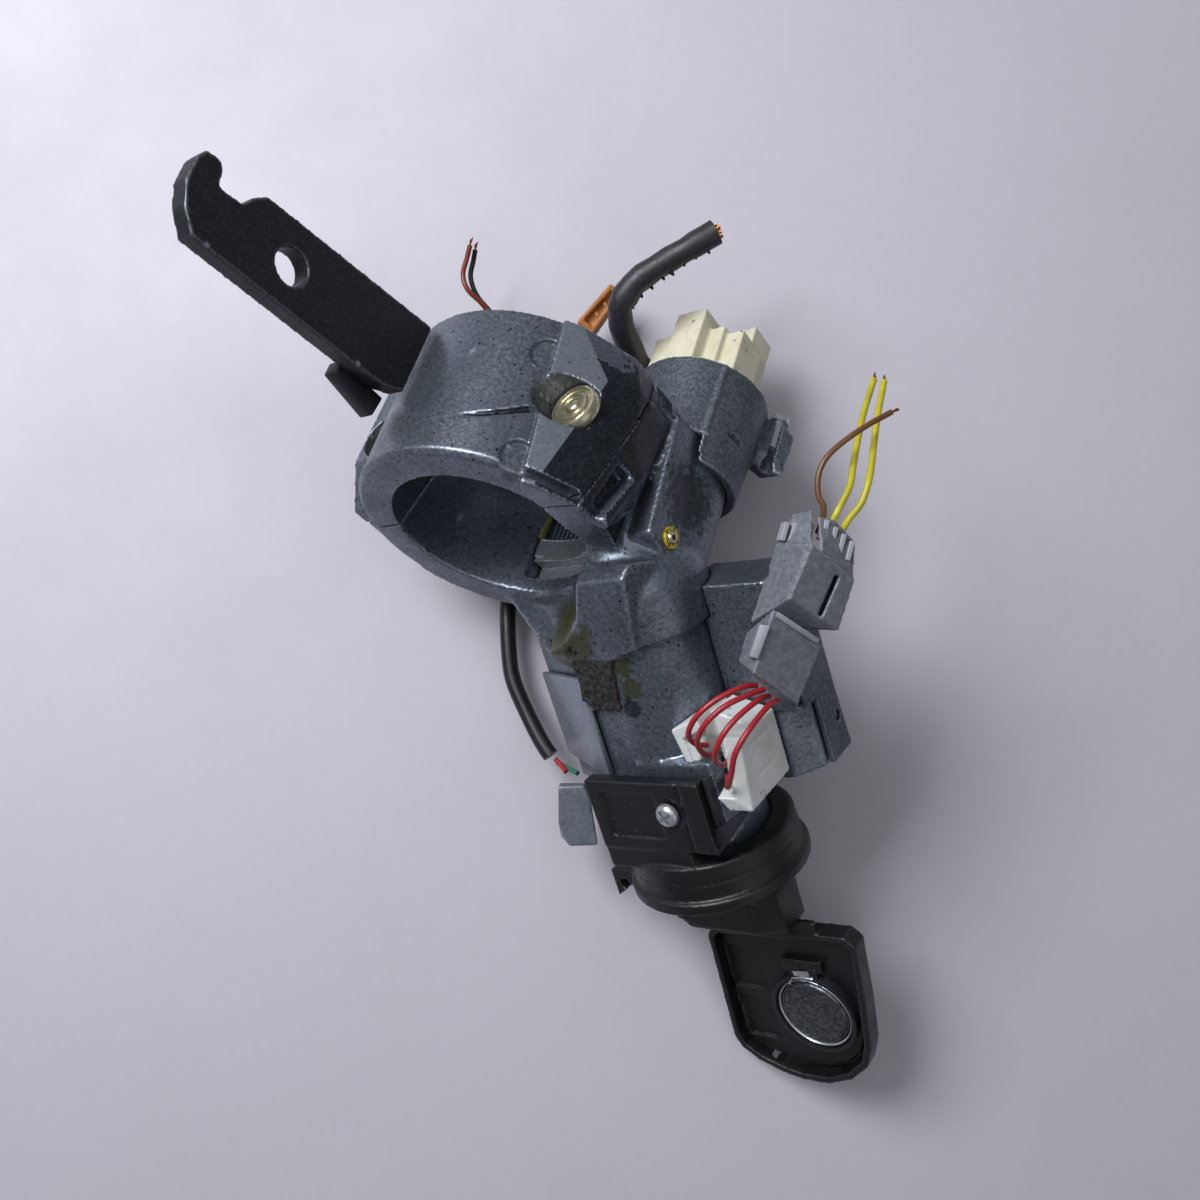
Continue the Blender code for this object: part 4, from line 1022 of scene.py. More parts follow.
class SWITCH_OT_key(bpy.types.Operator):
    """Build the key's black bow, the open remote case, its cell and clip"""
    bl_idname = "switch.key"
    bl_label = "Key and remote case"

    def execute(self, context):
        fine = sizes().moulded_edge
        bow = combine(prism([(-15.5, 3.0), (16.5, 3.0), (18.0, 5.0), (18.0, 17.0), (15.5, 19.8),
                             (-13.5, 19.8), (-16.5, 17.0), (-16.5, 5.0)], -5.5, 5.5, FLAT), [],
                      [box((-4.4, -1.4, -2), (4.4, 1.4, 9), BARREL),
                       box((-11, 4.6, 8.6), (13, 8, 9.4), BARREL),
                       prism([(-16.6, 16.0), (-9.0, 18.4), (9.0, 18.4), (18.2, 16.0), (18.2, 25),
                              (-17, 25)], -7, -4.2, FLAT)])
        softened(bow, fine, 2, 0.7)
        keep("key_bow_moulding", bow, black_plastic(), "key_bow", "key")

        outer = [(-10.5, 22.6), (13.5, 20.8), (30.5, 20.4), (33.2, 23.0), (31.5, 42.0),
                 (29.5, 56.0), (27.0, 62.5), (21.0, 68.0), (13.3, 71.3), (5.0, 71.6),
                 (-1.0, 70.5), (-8.0, 67.8), (-13.0, 64.0), (-14.4, 60.0), (-12.6, 25.0)]
        middle = Vector((9.5, 46.0))
        inner = []
        ledge = []
        for x, z in outer:
            away = Vector((x, z)) - middle
            spot = middle + away * (1 - 2.0 / away.length)
            inner.append((spot.x, spot.y))
            spot = middle + away * (1 - 3.4 / away.length)
            ledge.append((spot.x, spot.y))
        well = rod(CELL_SPOT, DOWN, 12.4, 0.4, 5.6, BARREL, 64)
        well = combine(well, [], [rod(CELL_SPOT, DOWN, 11.3, -1, 8, BARREL, 64)])
        frame_ring = combine(prism(ledge, 3.0, 5.0, FLAT), [],
                             [rod(CELL_SPOT, DOWN, 11.3, -1, 5.2, BARREL, 64),
                              box((-11, -4.0, 30), (1.0, 0, 44), BARREL),
                              box((-11, -4.0, 47), (0.0, 0, 61), BARREL)])
        case = combine(prism(outer, 0.0, 6.0, FLAT),
                       [box((14.4, -2.2, 17.2), (22.6, -0.4, 21.6), BARREL)],
                       [prism(inner, -2.0, 4.6, FLAT),
                        box((-7.0, -7, 67.1), (-1.9, -2.0, 68.9), BARREL),
                        box((9.0, -7, 67.1), (14.4, -2.0, 68.9), BARREL)])
        case = joined([softened(case, fine, 2, 0.6), softened(frame_ring, fine, 1, 0.6),
                       eased(well, 0.2)])
        case.data.shade_smooth()
        keep("remote_case_tray", case, black_plastic(), "remote_case", "key")

        cell = turned(((4.2, 9.4), (4.0, 9.9), (1.9, 10.0), (1.35, 9.8), (1.3, 9.5), (1.45, 9.3),
                       (1.05, 9.0), (1.0, 8.6), (1.0, 0.0)), CELL_SPOT, DOWN, BARREL, 72)
        polished(cell, 0.6)
        knurl = surface("pressed steel of the cell", linear("#4a4c50"), linear("#222327"),
                        linear("#9b9da1"), 0.85, 0.4, grain=0.9, grain_mix=0.45, blotch=6,
                        blotch_mix=0.5, bump=0.12, stretch=(1, 1, 0.3))
        keep("coin_cell_steel", cell, knurl, "coin_cell", "key")
        hoop = turned(((1.6, 11.0), (1.2, 10.9), (0.9, 10.6), (1.2, 10.3), (4.3, 10.3),
                       (4.3, 11.0)), CELL_SPOT, DOWN, BARREL, 72, True)
        tab = wrap([(11.6, -0.6, 34.0), (16.4, -0.6, 33.6), (16.6, -0.6, 35.4), (11.8, -0.6, 35.8),
                    (11.6, -1.1, 34.0), (16.4, -1.1, 33.6), (16.6, -1.1, 35.4), (11.8, -1.1, 35.8),
                    (13.6, -0.7, 37.2), (15.4, -0.7, 37.0), (13.6, -1.2, 37.2),
                    (15.4, -1.2, 37.0)], BARREL)
        finger = tube([BARREL @ Vector(p) for p in ((9.4, -1.0, 38.6), (11.0, -0.8, 36.2),
                                                    (14.0, -0.6, 35.6), (17.2, -0.8, 35.8),
                                                    (19.4, -1.0, 37.8))], 0.45, 10)
        polished(hoop, 0.6)
        clip = joined([hoop, eased(tab, 0.15), finger])
        keep("battery_clip_steel", clip, bright_steel(), "battery_clip", "key")
        block = combine(box((8.6, -4.4, 30.6), (20.4, -1.2, 34.2), BARREL),
                        [box((10.4, -4.4, 33), (13.0, -0.8, 36.8), BARREL),
                         box((16.2, -4.4, 33), (18.8, -0.8, 36.6), BARREL)])
        softened(block, 0.0003, 1)
        keep("clip_seat", block, black_plastic(), body="key")
        return {"FINISHED"}


class SWITCH_OT_antenna(bpy.types.Operator):
    """Build the antenna ring with its plate and screw, and the warning switch"""
    bl_idname = "switch.antenna"
    bl_label = "Antenna ring"

    def execute(self, context):
        fine = sizes().moulded_edge
        plate = combine(box((-18.6, 17.5, -36.8), (16.0, 21.4, -17.2), BARREL), [],
                        [box((-14.5, 20.7, -33.5), (2.2, 23, -20.5), BARREL),
                         rod(PLATE_SCREW, UP, 4.4, 20.9, 30, BARREL, 32),
                         box((9.5, 20.8, -38), (10.4, 23, -16), BARREL)])
        ring = turned(((-13, 21.5), (-12.4, 22.8), (-8.2, 23.0), (-8.0, 22.6), (-7.6, 22.6),
                       (-7.4, 23.1), (-3.4, 23.2), (-3.2, 24.1), (-2.8, 24.5), (-1.6, 24.5),
                       (-1.5, 24.2), (-1.1, 24.2), (-1.0, 24.5), (-0.3, 24.5), (0, 24.2)),
                      CENTRE, ALONG, BARREL, 96)
        lug = wrap([(-28.6, 3, -3), (-28.6, 12, -3), (-20, 3, -3), (-20, 12, -3),
                    (-28.6, 3, 5.5), (-28.6, 12, 5.5), (-20.5, 3, 0), (-20, 12, 0)], BARREL)
        ring = combine(ring, [plate, box((-18.6, 16.9, -18.2), (8.0, 21.0, -11.0), BARREL), lug],
                       [drum(16.9, -60, 60, BARREL, 72),
                        drum(20.2, -2.2, 60, BARREL, 72),
                        rod(PLATE_SCREW, UP, 2.0, 0, 40, BARREL, 16),
                        drum(20.9, -11.5, -4.0, BARREL, 72),
                        rod((-25.0, 0, 1.5), UP, 1.6, -5, 20, BARREL, 20)])
        softened(ring, fine, 2, 0.5)
        keep("antenna_moulding", ring, black_plastic(), "antenna_ring")
        head = turned(((12.0, 1.6), (12.6, 1.7), (21.3, 1.7), (21.3, 3.0), (21.6, 3.2),
                       (22.6, 3.0), (23.3, 2.3), (23.6, 1.2), (23.7, 0.0)),
                      PLATE_SCREW, UP, BARREL, 40)
        cross = [box((-2.1, 22.5, -0.38), (2.1, 25, 0.38), BARREL), box((-0.38, 22.5, -2.1),
                                                                       (0.38, 25, 2.1), BARREL)]
        spin = Matrix.Translation(Vector(PLATE_SCREW)) @ Matrix.Rotation(0.5, 4, "Y")
        whole = TO_METRES @ BARREL
        for cutter in cross:
            cutter.data.transform(whole @ spin @ whole.inverted())
        head = combine(head, [], cross)
        eased(head, 0.1, 1, 0.5)
        keep("antenna_screw_head", head, bright_steel(), "antenna_screw")
        shroud = joined([eased(box((16.4, 13.0, -37.2), (18.0, 19.0, -24.0), BARREL), 0.3),
                         eased(prism([(16.4, -23.4), (26.0, -29.0), (26.4, -28.0), (14.6, -15.4),
                                      (14.2, -17.0)], -19.4, -17.8, FLAT), 0.3)])
        keep("antenna_shroud", shroud, black_plastic())

        tin = wrap([(-11.2, -49.9, 29.5), (-4.4, -49.6, 29.5), (-2.6, -53.0, 29.5),
                    (-0.5, -66.0, 28.4), (-8.2, -66.3, 28.2), (-11.2, -60.0, 28.4),
                    (-11.2, -50.8, 17.5), (-3.4, -50.8, 17.5), (-2.5, -66.0, 17.0),
                    (-10.8, -66.0, 17.0)], WORLD)
        softened(tin, 0.0004, 4)
        keep("warning_switch_can", tin, surface("drawn grey can", linear("#6b737c"),
                                                linear("#33383e"), linear("#a8b1b8"), 0.5, 0.42,
                                                grain=0.9, blotch=5, bump=0.05, rim=0.5),
             "key_warning_switch")
        return {"FINISHED"}


class SWITCH_OT_interlock(bpy.types.Operator):
    """Build the interlock block, its cover and the white solenoid case"""
    bl_idname = "switch.interlock"
    bl_label = "Interlock and solenoid"

    def execute(self, context):
        rear = prism([(12.0, -0.6), (35.2, -0.6), (35.6, -1.2), (35.6, -17.2), (12.0, -17.2)],
                     -79.0, -45.0, BARREL)
        front = prism([(11.0, -0.9), (29.4, -0.9), (35.4, -7.4), (35.4, -18.0), (11.0, -18.0)],
                      -46.7, -26.4, BARREL)
        block = combine(rear, [front],
                        [drum(16.7, -95, 10, BARREL, 64),
                         drum(18.5, -99, -70.6, BARREL, 64),
                         rod(SWITCH_SPOT, ALONG, 15.7, -60, 12, LOCK, 48),
                         box((10, -32, -45), (41.6, 10, 0)), box((30, -30, -45), (36, 10, 12)),
                         box((13, -1.1, -71), (13.6, 4, -50), BARREL)])
        softened(block, 0.0005, 2, 0.7)
        keep("interlock_casting", block, cast_metal(), "interlock_block")
        side = BARREL @ SIDEWAYS
        cover = combine(prism([(-1.4, -50.8), (-2.3, -45.2), (-7.3, -45.4), (-7.9, -27.0),
                               (-18.4, -27.0), (-17.2, -44.0), (-16.8, -62.0), (-1.4, -66.0)],
                              35.9, 37.2, side), [],
                        [rod((-15.2, -36.5, 0), ALONG, 1.4, 30, 40, side, 24)])
        softened(cover, 0.0003, 1, 0.6)
        # The cover plate is darkened with painted shade.
        keep("interlock_plate", cover, painted_shade_metal(), "interlock_cover")
        shell = wrap([(18.8, 0.0, -50.5), (29.2, 0.0, -46.5), (29.2, 0.0, -29.5),
                      (18.8, 0.0, -29.5), (18.8, 24.0, -53.0), (22.8, 20.0, -29.5),
                      (29.2, 20.0, -29.5), (18.8, 24.0, -41.0), (29.2, 17.0, -47.5),
                      (24.0, 22.5, -50.0)], BARREL)
        case = combine(shell, [],
                       [box((17.0, 11.0, -60.0), (26.4, 30, -33.8), BARREL),
                        rod(PLUNGER_SPOT, ACROSS, 4.4, 20.4, 27.6, SOLENOID, 32),
                        rod(PLUNGER_SPOT, ACROSS, 2.4, 10, 24, SOLENOID, 20),
                        box((28.7, 3, -44), (30, 15, -43.3), BARREL),
                        box((28.7, 3, -36), (30, 15, -35.3), BARREL)])
        wall = combine(wrap([(9.0, 15.4, -48.4), (18.8, 17.5, -52.6), (19.4, 17.5, -50.0),
                             (11.4, 15.4, -46.0), (11.2, 15.4, -37.4), (12.6, 15.4, -37.4),
                             (9.0, 11.5, -48.4), (18.8, 3.0, -52.6), (19.4, 3.0, -37.0),
                             (11.2, 11.0, -37.4)], BARREL), [],
                       [drum(16.75, -95, 10, BARREL, 64),
                        wrap([(12.4, 14.9, -46.4), (20, 14.9, -49.6), (20, 14.9, -34),
                              (13.2, 14.9, -34), (12.4, 20, -46.4), (20, 20, -49.6),
                              (20, 20, -34), (13.2, 20, -34)], BARREL)])
        case = combine(case, [wall])
        softened(case, 0.0004, 2, 0.7)
        keep("solenoid_moulding", case, white_nylon(), "solenoid_case")
        return {"FINISHED"}


class SWITCH_OT_contacts(bpy.types.Operator):
    """Build the flared cup and the cream switch body on the back"""
    bl_idname = "switch.contacts"
    bl_label = "Switch cup and body"

    def execute(self, context):
        ear = wrap([(36, -30, -60), (46.5, -43, -60), (49.0, -45.5, -57), (48.5, -45.0, -44),
                    (43.0, -40.0, -47), (36, -36, -47), (36, -40, -60), (41, -47, -57),
                    (41, -46, -45)])
        turn = math.radians(38)
        rib = wrap([(CUP_X + r * math.cos(turn + d), CUP_Y + r * math.sin(turn + d), z)
                    for d in (-0.026, 0.026)
                    for r, z in ((15.5, -33), (17.0, -33), (17.0, -59.8), (18.8, -59.8))])
        low = math.radians(6)
        slot_cut = wrap([(CUP_X + r * math.cos(low + d), CUP_Y + r * math.sin(low + d), z)
                         for d in (-0.19, 0.19) for r in (16.2, 20) for z in (-41.5, -43.0)])
        cup = combine(turned(((-31, 16.3), (-60, 18.3)), CUP_SPOT, ALONG, LOCK, 72),
                      [ear, rib],
                      [rod(SWITCH_SPOT, ALONG, 15.7, -36.3, 0, LOCK, 48),
                       turned(((-38.9, 14.5), (-61, 16.55)), CUP_SPOT, ALONG, LOCK,
                              72),
                       rod(SWITCH_SPOT, ALONG, 4.6, -60, 0, LOCK, 24),
                       drum(COLLAR_R + 0.4, -43.4, 30, LOCK, 96),
                       box((10, -11.3, -44.1), (44, 20, 0)),
                       wrap([(17.4, -31, -38.4), (41.6, -27.8, -38.4), (41.6, -4, -38.4),
                             (17.4, -4, -38.4), (17.4, -31, 0), (41.6, -27.8, 0), (41.6, -4, 0),
                             (17.4, -4, 0)]),
                       rod((44.5, -42.5, 0), ALONG, 1.6, -70, -30, LOCK, 16), slot_cut])
        softened(cup, 0.0005, 2, 0.6)
        # The cup is darkened with painted shade.
        keep("switch_cup_casting", cup, painted_shade_metal(), "switch_cup")
        tower_set = [((17.6, -22.4), (24.9, -14.9), -73.5), ((23.4, -24.9), (32.8, -13.9), -80.0),
                     ((30.8, -26.4), (37.3, -17.9), -76.0), ((35.3, -30.4), (42.4, -19.9), -75.0),
                     ((26.8, -36.4), (39.8, -27.4), -83.5), ((14.8, -38.4), (27.8, -24.4), -76.0)]
        towers = [box((a[0], a[1], end), (b[0], b[1], -60.5)) for a, b, end in tower_set]
        mouth = [box((a[0] + 1.2, a[1] + 1.2, end - 3), (b[0] - 1.2, b[1] - 1.2, end + 5))
                 for a, b, end in tower_set[4:]]
        body = combine(rod(CUP_SPOT, ALONG, 14.7, -63.0, -46.0, LOCK, 72), towers,
                       mouth + [rod(SWITCH_SPOT, ALONG, 11.0, -58.0, -40.0, LOCK),
                                rod(SWITCH_SPOT, ALONG, 3.2, -62.0, -40.0, LOCK,
                                    20)])
        softened(body, sizes().moulded_edge, 2, 0.5)
        keep("switch_body_moulding", body, cream_nylon(), "switch_body")
        return {"FINISHED"}


class SWITCH_OT_connectors(bpy.types.Operator):
    """Build the grey connector pair and the tan connector"""
    bl_idname = "switch.connectors"
    bl_label = "Connectors"

    def execute(self, context):
        fine = sizes().moulded_edge
        clear = box((0, -40, -100), (37.7, -0.1, 0), BARREL)
        upper = wrap([(47.2, 12.7, 84.0), (42.4, 0.5, 82.0), (58.4, 4.8, 77.0),
                      (55.0, -7.1, 75.0), (40.5, 13.1, 75.0), (34.7, -5.1, 73.0),
                      (51.3, 4.9, 68.0), (47.8, -6.9, 66.0)], WORLD)
        comb = [wrap([(41.0, 14.4, 75.5), (44.4, 19.8, 74.5), (48.6, 20.6, 76.5),
                      (47.3, 12.4, 82.0), (43.4, 11.8, 72.0), (49.3, 17.7, 70.0),
                      (44.8, 5.9, 78.0), (46.3, 5.9, 73.0)], WORLD),
                wrap([(49.5, 11.8, 81.0), (49.7, 19.3, 77.0), (53.9, 18.5, 76.0),
                      (59.1, 13.4, 74.0), (58.0, 4.5, 76.5), (53.2, 11.8, 70.0),
                      (51.2, 3.9, 78.0), (53.2, 3.9, 73.0)], WORLD)]
        slot_cut = wrap([(53.3, 6.0, 82), (54.3, 5.4, 82), (50.5, -3.9, 82), (49.5, -3.3, 82),
                         (53.3, 6.0, 73.5), (54.3, 5.4, 73.5), (50.5, -3.9, 73.5),
                         (49.5, -3.3, 73.5)], WORLD)
        seam = wrap([(46.6, 12.6, 90), (47.2, 12.4, 90), (42.4, 0.4, 90), (41.8, 0.6, 90),
                     (46.6, 12.6, 81.6), (47.2, 12.4, 81.6), (42.4, 0.4, 80.6),
                     (41.8, 0.6, 80.6)], WORLD)
        socket = combine(upper, comb, [clear, slot_cut, seam])
        softened(socket, fine, 1, 0.6)
        keep("grey_socket_moulding", socket, grey_nylon(), "grey_socket")
        pitch = sizes().tooth_pitch / MM
        teeth = Vector((0.28, 0.96, -0.08)).normalized()
        across = Vector((0.93, -0.3, -0.2)).normalized()
        aim = frame_of(across, teeth, across.cross(teeth), Vector())
        back = aim.inverted()
        row("comb_teeth_left", 4, back @ Vector((41.9, 15.6, 76.4)), (pitch * 0.82, 0.5, 0.0),
            (1.1, 4.4, 3.0), aim, grey_nylon())
        row("comb_teeth_right", 4, back @ Vector((51.0, 16.0, 76.6)), (pitch, -0.9, 0.0),
            (1.1, 4.6, 3.0), aim, grey_nylon())
        lower = combine(wrap([(39.1, -1.9, 81.4), (34.7, -16.5, 79.6), (51.4, -10.3, 74.6),
                              (46.0, -24.1, 72.8), (33.8, -7.6, 73.0), (32.1, -14.1, 72.4),
                              (46.6, -10.1, 66.8), (41.7, -23.7, 65.4)], WORLD), [],
                        [box((0, -40, -100), (37.7, -0.1, 0), BARREL)])
        softened(lower, fine, 1, 0.6)
        keep("grey_plug_moulding", lower, grey_nylon(), "grey_plug")
        latch = joined([eased(wrap([(35.9, -5.4, 81.9), (38.2, -5.8, 82.0), (35.6, -13.4, 80.8),
                                    (33.6, -12.8, 80.6), (35.9, -5.4, 78.0), (38.2, -5.8, 79.4),
                                    (35.6, -13.4, 78.6), (33.6, -12.8, 77.0)], WORLD), 0.3),
                        eased(wrap([(40.0, -2.6, 81.9), (50.4, -9.0, 76.4), (49.8, -10.2, 76.2),
                                    (39.4, -3.8, 81.6), (40.0, -2.6, 80.4), (50.4, -9.0, 74.9),
                                    (49.8, -10.2, 74.7), (39.4, -3.8, 80.0)], WORLD), 0.25)])
        keep("plug_latch", latch, grey_nylon())

        frame_cut = wrap([(-4.4, 78.2, 20), (3.2, 86.4, 20), (4.6, 85.3, 20), (-2.4, 76.2, 20),
                          (-4.4, 78.2, 15.2), (3.2, 86.4, 15.2), (4.6, 85.3, 14.6),
                          (-2.4, 76.2, 14.6)], WORLD)
        tan = combine(wrap([(-6.4, 77.6, 17.0), (2.8, 88.2, 17.0), (6.1, 86.0, 16.0),
                            (-2.2, 74.0, 16.0), (-6.4, 77.6, 8.0), (2.8, 88.2, 8.0),
                            (6.1, 86.0, 8.0), (-2.2, 74.0, 8.0)], WORLD), [], [frame_cut])
        bars = [wrap([(-3.6 + d, 77.6 + 1.15 * d, 16.3), (-3.0 + d, 78.2 + 1.15 * d, 16.3),
                      (-1.2 + d, 76.0 + 1.15 * d, 15.8), (-1.8 + d, 75.4 + 1.15 * d, 15.8),
                      (-3.6 + d, 77.6 + 1.15 * d, 13), (-3.0 + d, 78.2 + 1.15 * d, 13),
                      (-1.2 + d, 76.0 + 1.15 * d, 13), (-1.8 + d, 75.4 + 1.15 * d, 13)], WORLD)
                for d in (2.0, 4.4)]
        paint = colours()
        orange = surface("tan moulded plastic", paint.tan, linear("#5c3717"), linear("#c98a4d"),
                         0.0, 0.5, grain=1.4, blotch=5, speck=linear("#2a1a0d"), speck_size=1.2,
                         speck_cut=0.68, bump=0.04, rim=0.4, crevice_shade=0.6)
        softened(tan, 0.00035, 1, 0.6)
        tan = joined([tan] + [eased(bar, 0.1, 1) for bar in bars])
        keep("tan_connector_moulding", tan, orange, "tan_connector")
        return {"FINISHED"}


# Cords: routes in millimetres over the floor, those of the solids, except that the yellow,
# brown and taped ones start a little sooner, inside what they come out of
ROUTES = {
    "yellow_wire_a": (0.8, [(52.4, 15.2, 72), (53.6, 18.0, 73.4), (55.0, 20.8, 74),
                            (57.9, 26.5, 73), (59.4, 32.1, 70), (62.9, 43.4, 63), (67.1, 54.1, 57)]),
    "yellow_wire_b": (0.8, [(54.6, 13.4, 71), (56.0, 16.0, 73), (57.4, 18.6, 74),
                            (60.2, 22.5, 75), (62.3, 28.6, 74), (64.3, 36.1, 69),
                            (66.0, 44.1, 66), (68.9, 53.0, 60)]),
    "brown_wire": (0.7, [(50.6, 15.6, 72), (51.4, 18.6, 74), (51.4, 21.6, 75), (50.2, 24.3, 75),
                         (50.4, 29.3, 75), (53.2, 34.0, 75), (60.2, 39.4, 74), (67.9, 43.8, 71.5)]),
    "red_wire_1": (0.7, [(37.9, -20.6, 73.8), (34.5, -21.5, 76), (28.4, -24.2, 78),
                         (23.9, -28.5, 77), (22.5, -33.0, 73), (24.6, -36.3, 69),
                         (27.2, -36.6, 66)]),
    "red_wire_2": (0.7, [(39.3, -22.4, 71.8), (36.2, -22.8, 77), (30.7, -26.8, 80),
                         (27.2, -31.4, 80), (26.2, -36.0, 77), (28.6, -38.6, 71),
                         (30.6, -38.0, 66.5)]),
    "red_wire_3": (0.7, [(36.4, -19.9, 71.8), (33.0, -20.1, 74), (27.0, -22.7, 75.5),
                         (22.2, -26.9, 74.5), (20.6, -31.3, 71), (22.6, -34.0, 67.5),
                         (25.6, -34.6, 65)]),
    "red_wire_4": (0.7, [(41.0, -23.2, 73.8), (38.3, -24.1, 78), (33.4, -29.1, 82),
                         (30.3, -34.5, 82.0), (29.8, -39.7, 78.5), (29.7, -43.5, 72.1),
                         (30.2, -41.6, 67.6)]),
    "taped_cable": (3.6, [(14.0, 60.0, 20), (10.4, 65.0, 24), (7.4, 69.5, 29), (5.6, 73.0, 33),
                          (5.2, 76.7, 36), (8.6, 82.2, 38), (14.3, 86, 40),
                          (21.9, 90.1, 42), (29.8, 94.5, 43)]),
    "rear_wire_a": (0.7, [(-29.0, 77.0, 15), (-32.5, 81.9, 18), (-36.4, 85.5, 20),
                          (-37.8, 89.6, 20), (-36.6, 94, 21), (-35.6, 97.3, 22)]),
    "rear_wire_b": (0.7, [(-27.0, 76.4, 13), (-30.6, 80.6, 15), (-34.3, 84.8, 17),
                          (-35.9, 89.6, 18), (-35.0, 94, 19), (-34.4, 96.6, 20)]),
    "sheathed_cable": (2.3, [(-26.5, 0, 4), (-26.6, -5.2, 5), (-26.2, -14.4, 6),
                             (-24.9, -22.9, 7), (-20.5, -32.8, 9), (-16.4, -40.4, 11),
                             (-13.9, -43.9, 12)]),
    "warning_wire_red": (0.7, [(-12.6, -44.9, 12.5), (-11.0, -46.3, 14), (-9.5, -48.0, 16)]),
    "warning_wire_green": (0.7, [(-12.0, -46.2, 11.0), (-9.6, -47.0, 13.5),
                                 (-6.2, -48.3, 16.5)]),
}


def strands(name, run, radius, material):
    """A few bare strands that fan out of a cut end."""
    end = run[-1]
    ahead = (run[-1] - run[-2]).normalized()
    dice = random.Random(len(name))
    threads = []
    for n in range(5):
        away = Vector((dice.uniform(-1, 1), dice.uniform(-1, 1), dice.uniform(-1, 1)))
        tip = end + ahead * dice.uniform(1.2, 2.2) + away * 0.35
        threads.append(tube([end - ahead * 0.5, (end + tip) / 2 + away * 0.05, tip], radius, 5))
    return keep(name + "_strands", joined(threads), material)


class SWITCH_OT_cords(bpy.types.Operator):
    """Build every wire and cable along its route"""
    bl_idname = "switch.cords"
    bl_label = "Wires and cables"

    def execute(self, context):
        paint = colours()
        red = wire_plastic("red", paint.red)
        yellow = wire_plastic("yellow", paint.yellow)
        brown = wire_plastic("brown", linear("#6a4526"))
        green = wire_plastic("green", linear("#2c6a52"))
        dark = wire_plastic("black", linear("#17181b"))
        rust = wire_plastic("dark red", linear("#7c3019"))
        tape = surface("cloth harness tape", linear("#1b1c20"), linear("#0a0a0c"),
                       linear("#54575e"), 0.0, 0.45, grain=1.0, grain_mix=0.15, blotch=6,
                       bump=0.12, speck=linear("#4a4d52"), speck_size=1.4, speck_cut=0.74)
        finishes = {"yellow_wire_a": yellow, "yellow_wire_b": yellow, "brown_wire": brown,
                    "red_wire_1": red, "red_wire_2": red, "red_wire_3": red, "red_wire_4": red,
                    "taped_cable": tape, "rear_wire_a": rust, "rear_wire_b": dark,
                    "sheathed_cable": dark, "warning_wire_red": red, "warning_wire_green": green}
        copper = copper_metal()
        for name, (radius, points) in ROUTES.items():
            run = smooth_run(points, max(0.8, radius))
            wobble = 0.22 if name == "taped_cable" else 0.0
            item = tube(run, radius * (0.93 if wobble else 1.0), 20 if radius > 1 else 12,
                        wobble=wobble)
            keep(name + "_run", item, finishes[name], name)
            if name in ("yellow_wire_a", "yellow_wire_b", "brown_wire", "rear_wire_a",
                        "rear_wire_b"):
                strands(name, run, sizes().wire_core / MM * 0.45, copper)
            length = sum((b - a).length for a, b in zip(run, run[1:])) * MM
            if length < max(0.03, 12 * radius * MM):
                continue
        dice = random.Random(11)
        scraps = []
        run = smooth_run(ROUTES["taped_cable"][1], 1.2)
        for n in range(16):
            t = n / 15
            spot = run[int(3 + t * (len(run) - 8))]
            away = Vector((0.55, -0.75, -0.15 + dice.uniform(-0.3, 0.3)))
            far = 3.4 + dice.uniform(0.6, 2.6) * (1.2 - 0.8 * t)
            wide = dice.uniform(0.5, 1.3)
            along = Vector((0.7, 0.6, 0.1))
            scraps.append(wrap([spot + away * 2.0 - along * wide, spot + away * 2.0 + along * wide,
                                spot + away * far, spot + away * far + Vector((0.3, 0.4, 0.5)),
                                spot + away * 2.0 + Vector((0, 0, 0.9))], WORLD))
        keep("tape_tatters", joined(scraps), tape)
        end = Vector(ROUTES["taped_cable"][1][-1])
        ahead = Vector((0.85, 0.5, 0.1)).normalized()
        bits = []
        for n in range(9):
            away = Vector((dice.uniform(-1, 1), dice.uniform(-1, 1), dice.uniform(-1, 1))) * 2.0
            away -= ahead * away.dot(ahead)
            bits.append(tube([end - ahead * 1.5 + away, end + ahead * 0.2 + away,
                              end + ahead * dice.uniform(0.6, 1.5) + away * 1.1], 0.45, 8))
        keep("cut_cable_cores", joined(bits), copper)
        return {"FINISHED"}


class SWITCH_OT_inner(bpy.types.Operator):
    """Dress the solids that keep their own shape"""
    bl_idname = "switch.inner"
    bl_label = "Inner parts"

    def execute(self, context):
        brass = brass_metal()
        steel = bright_steel()
        copper = copper_metal()
        given = {"key_plug": brass, "tumbler_1": brass, "tumbler_2": brass, "tumbler_3": brass,
                 "tumbler_4": brass, "key_blade": steel, "bolt_spring": steel,
                 "antenna_coil": copper, "solenoid_coil": copper, "solenoid_plunger": steel,
                 "switch_shaft": brass, "contact_plate": copper, "switch_screw": steel}
        for name, material in given.items():
            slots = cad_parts[name].material_slots
            if not slots:
                raise RuntimeError(name + " has no material slot")
            for place in slots:
                place.material = material
        return {"FINISHED"}


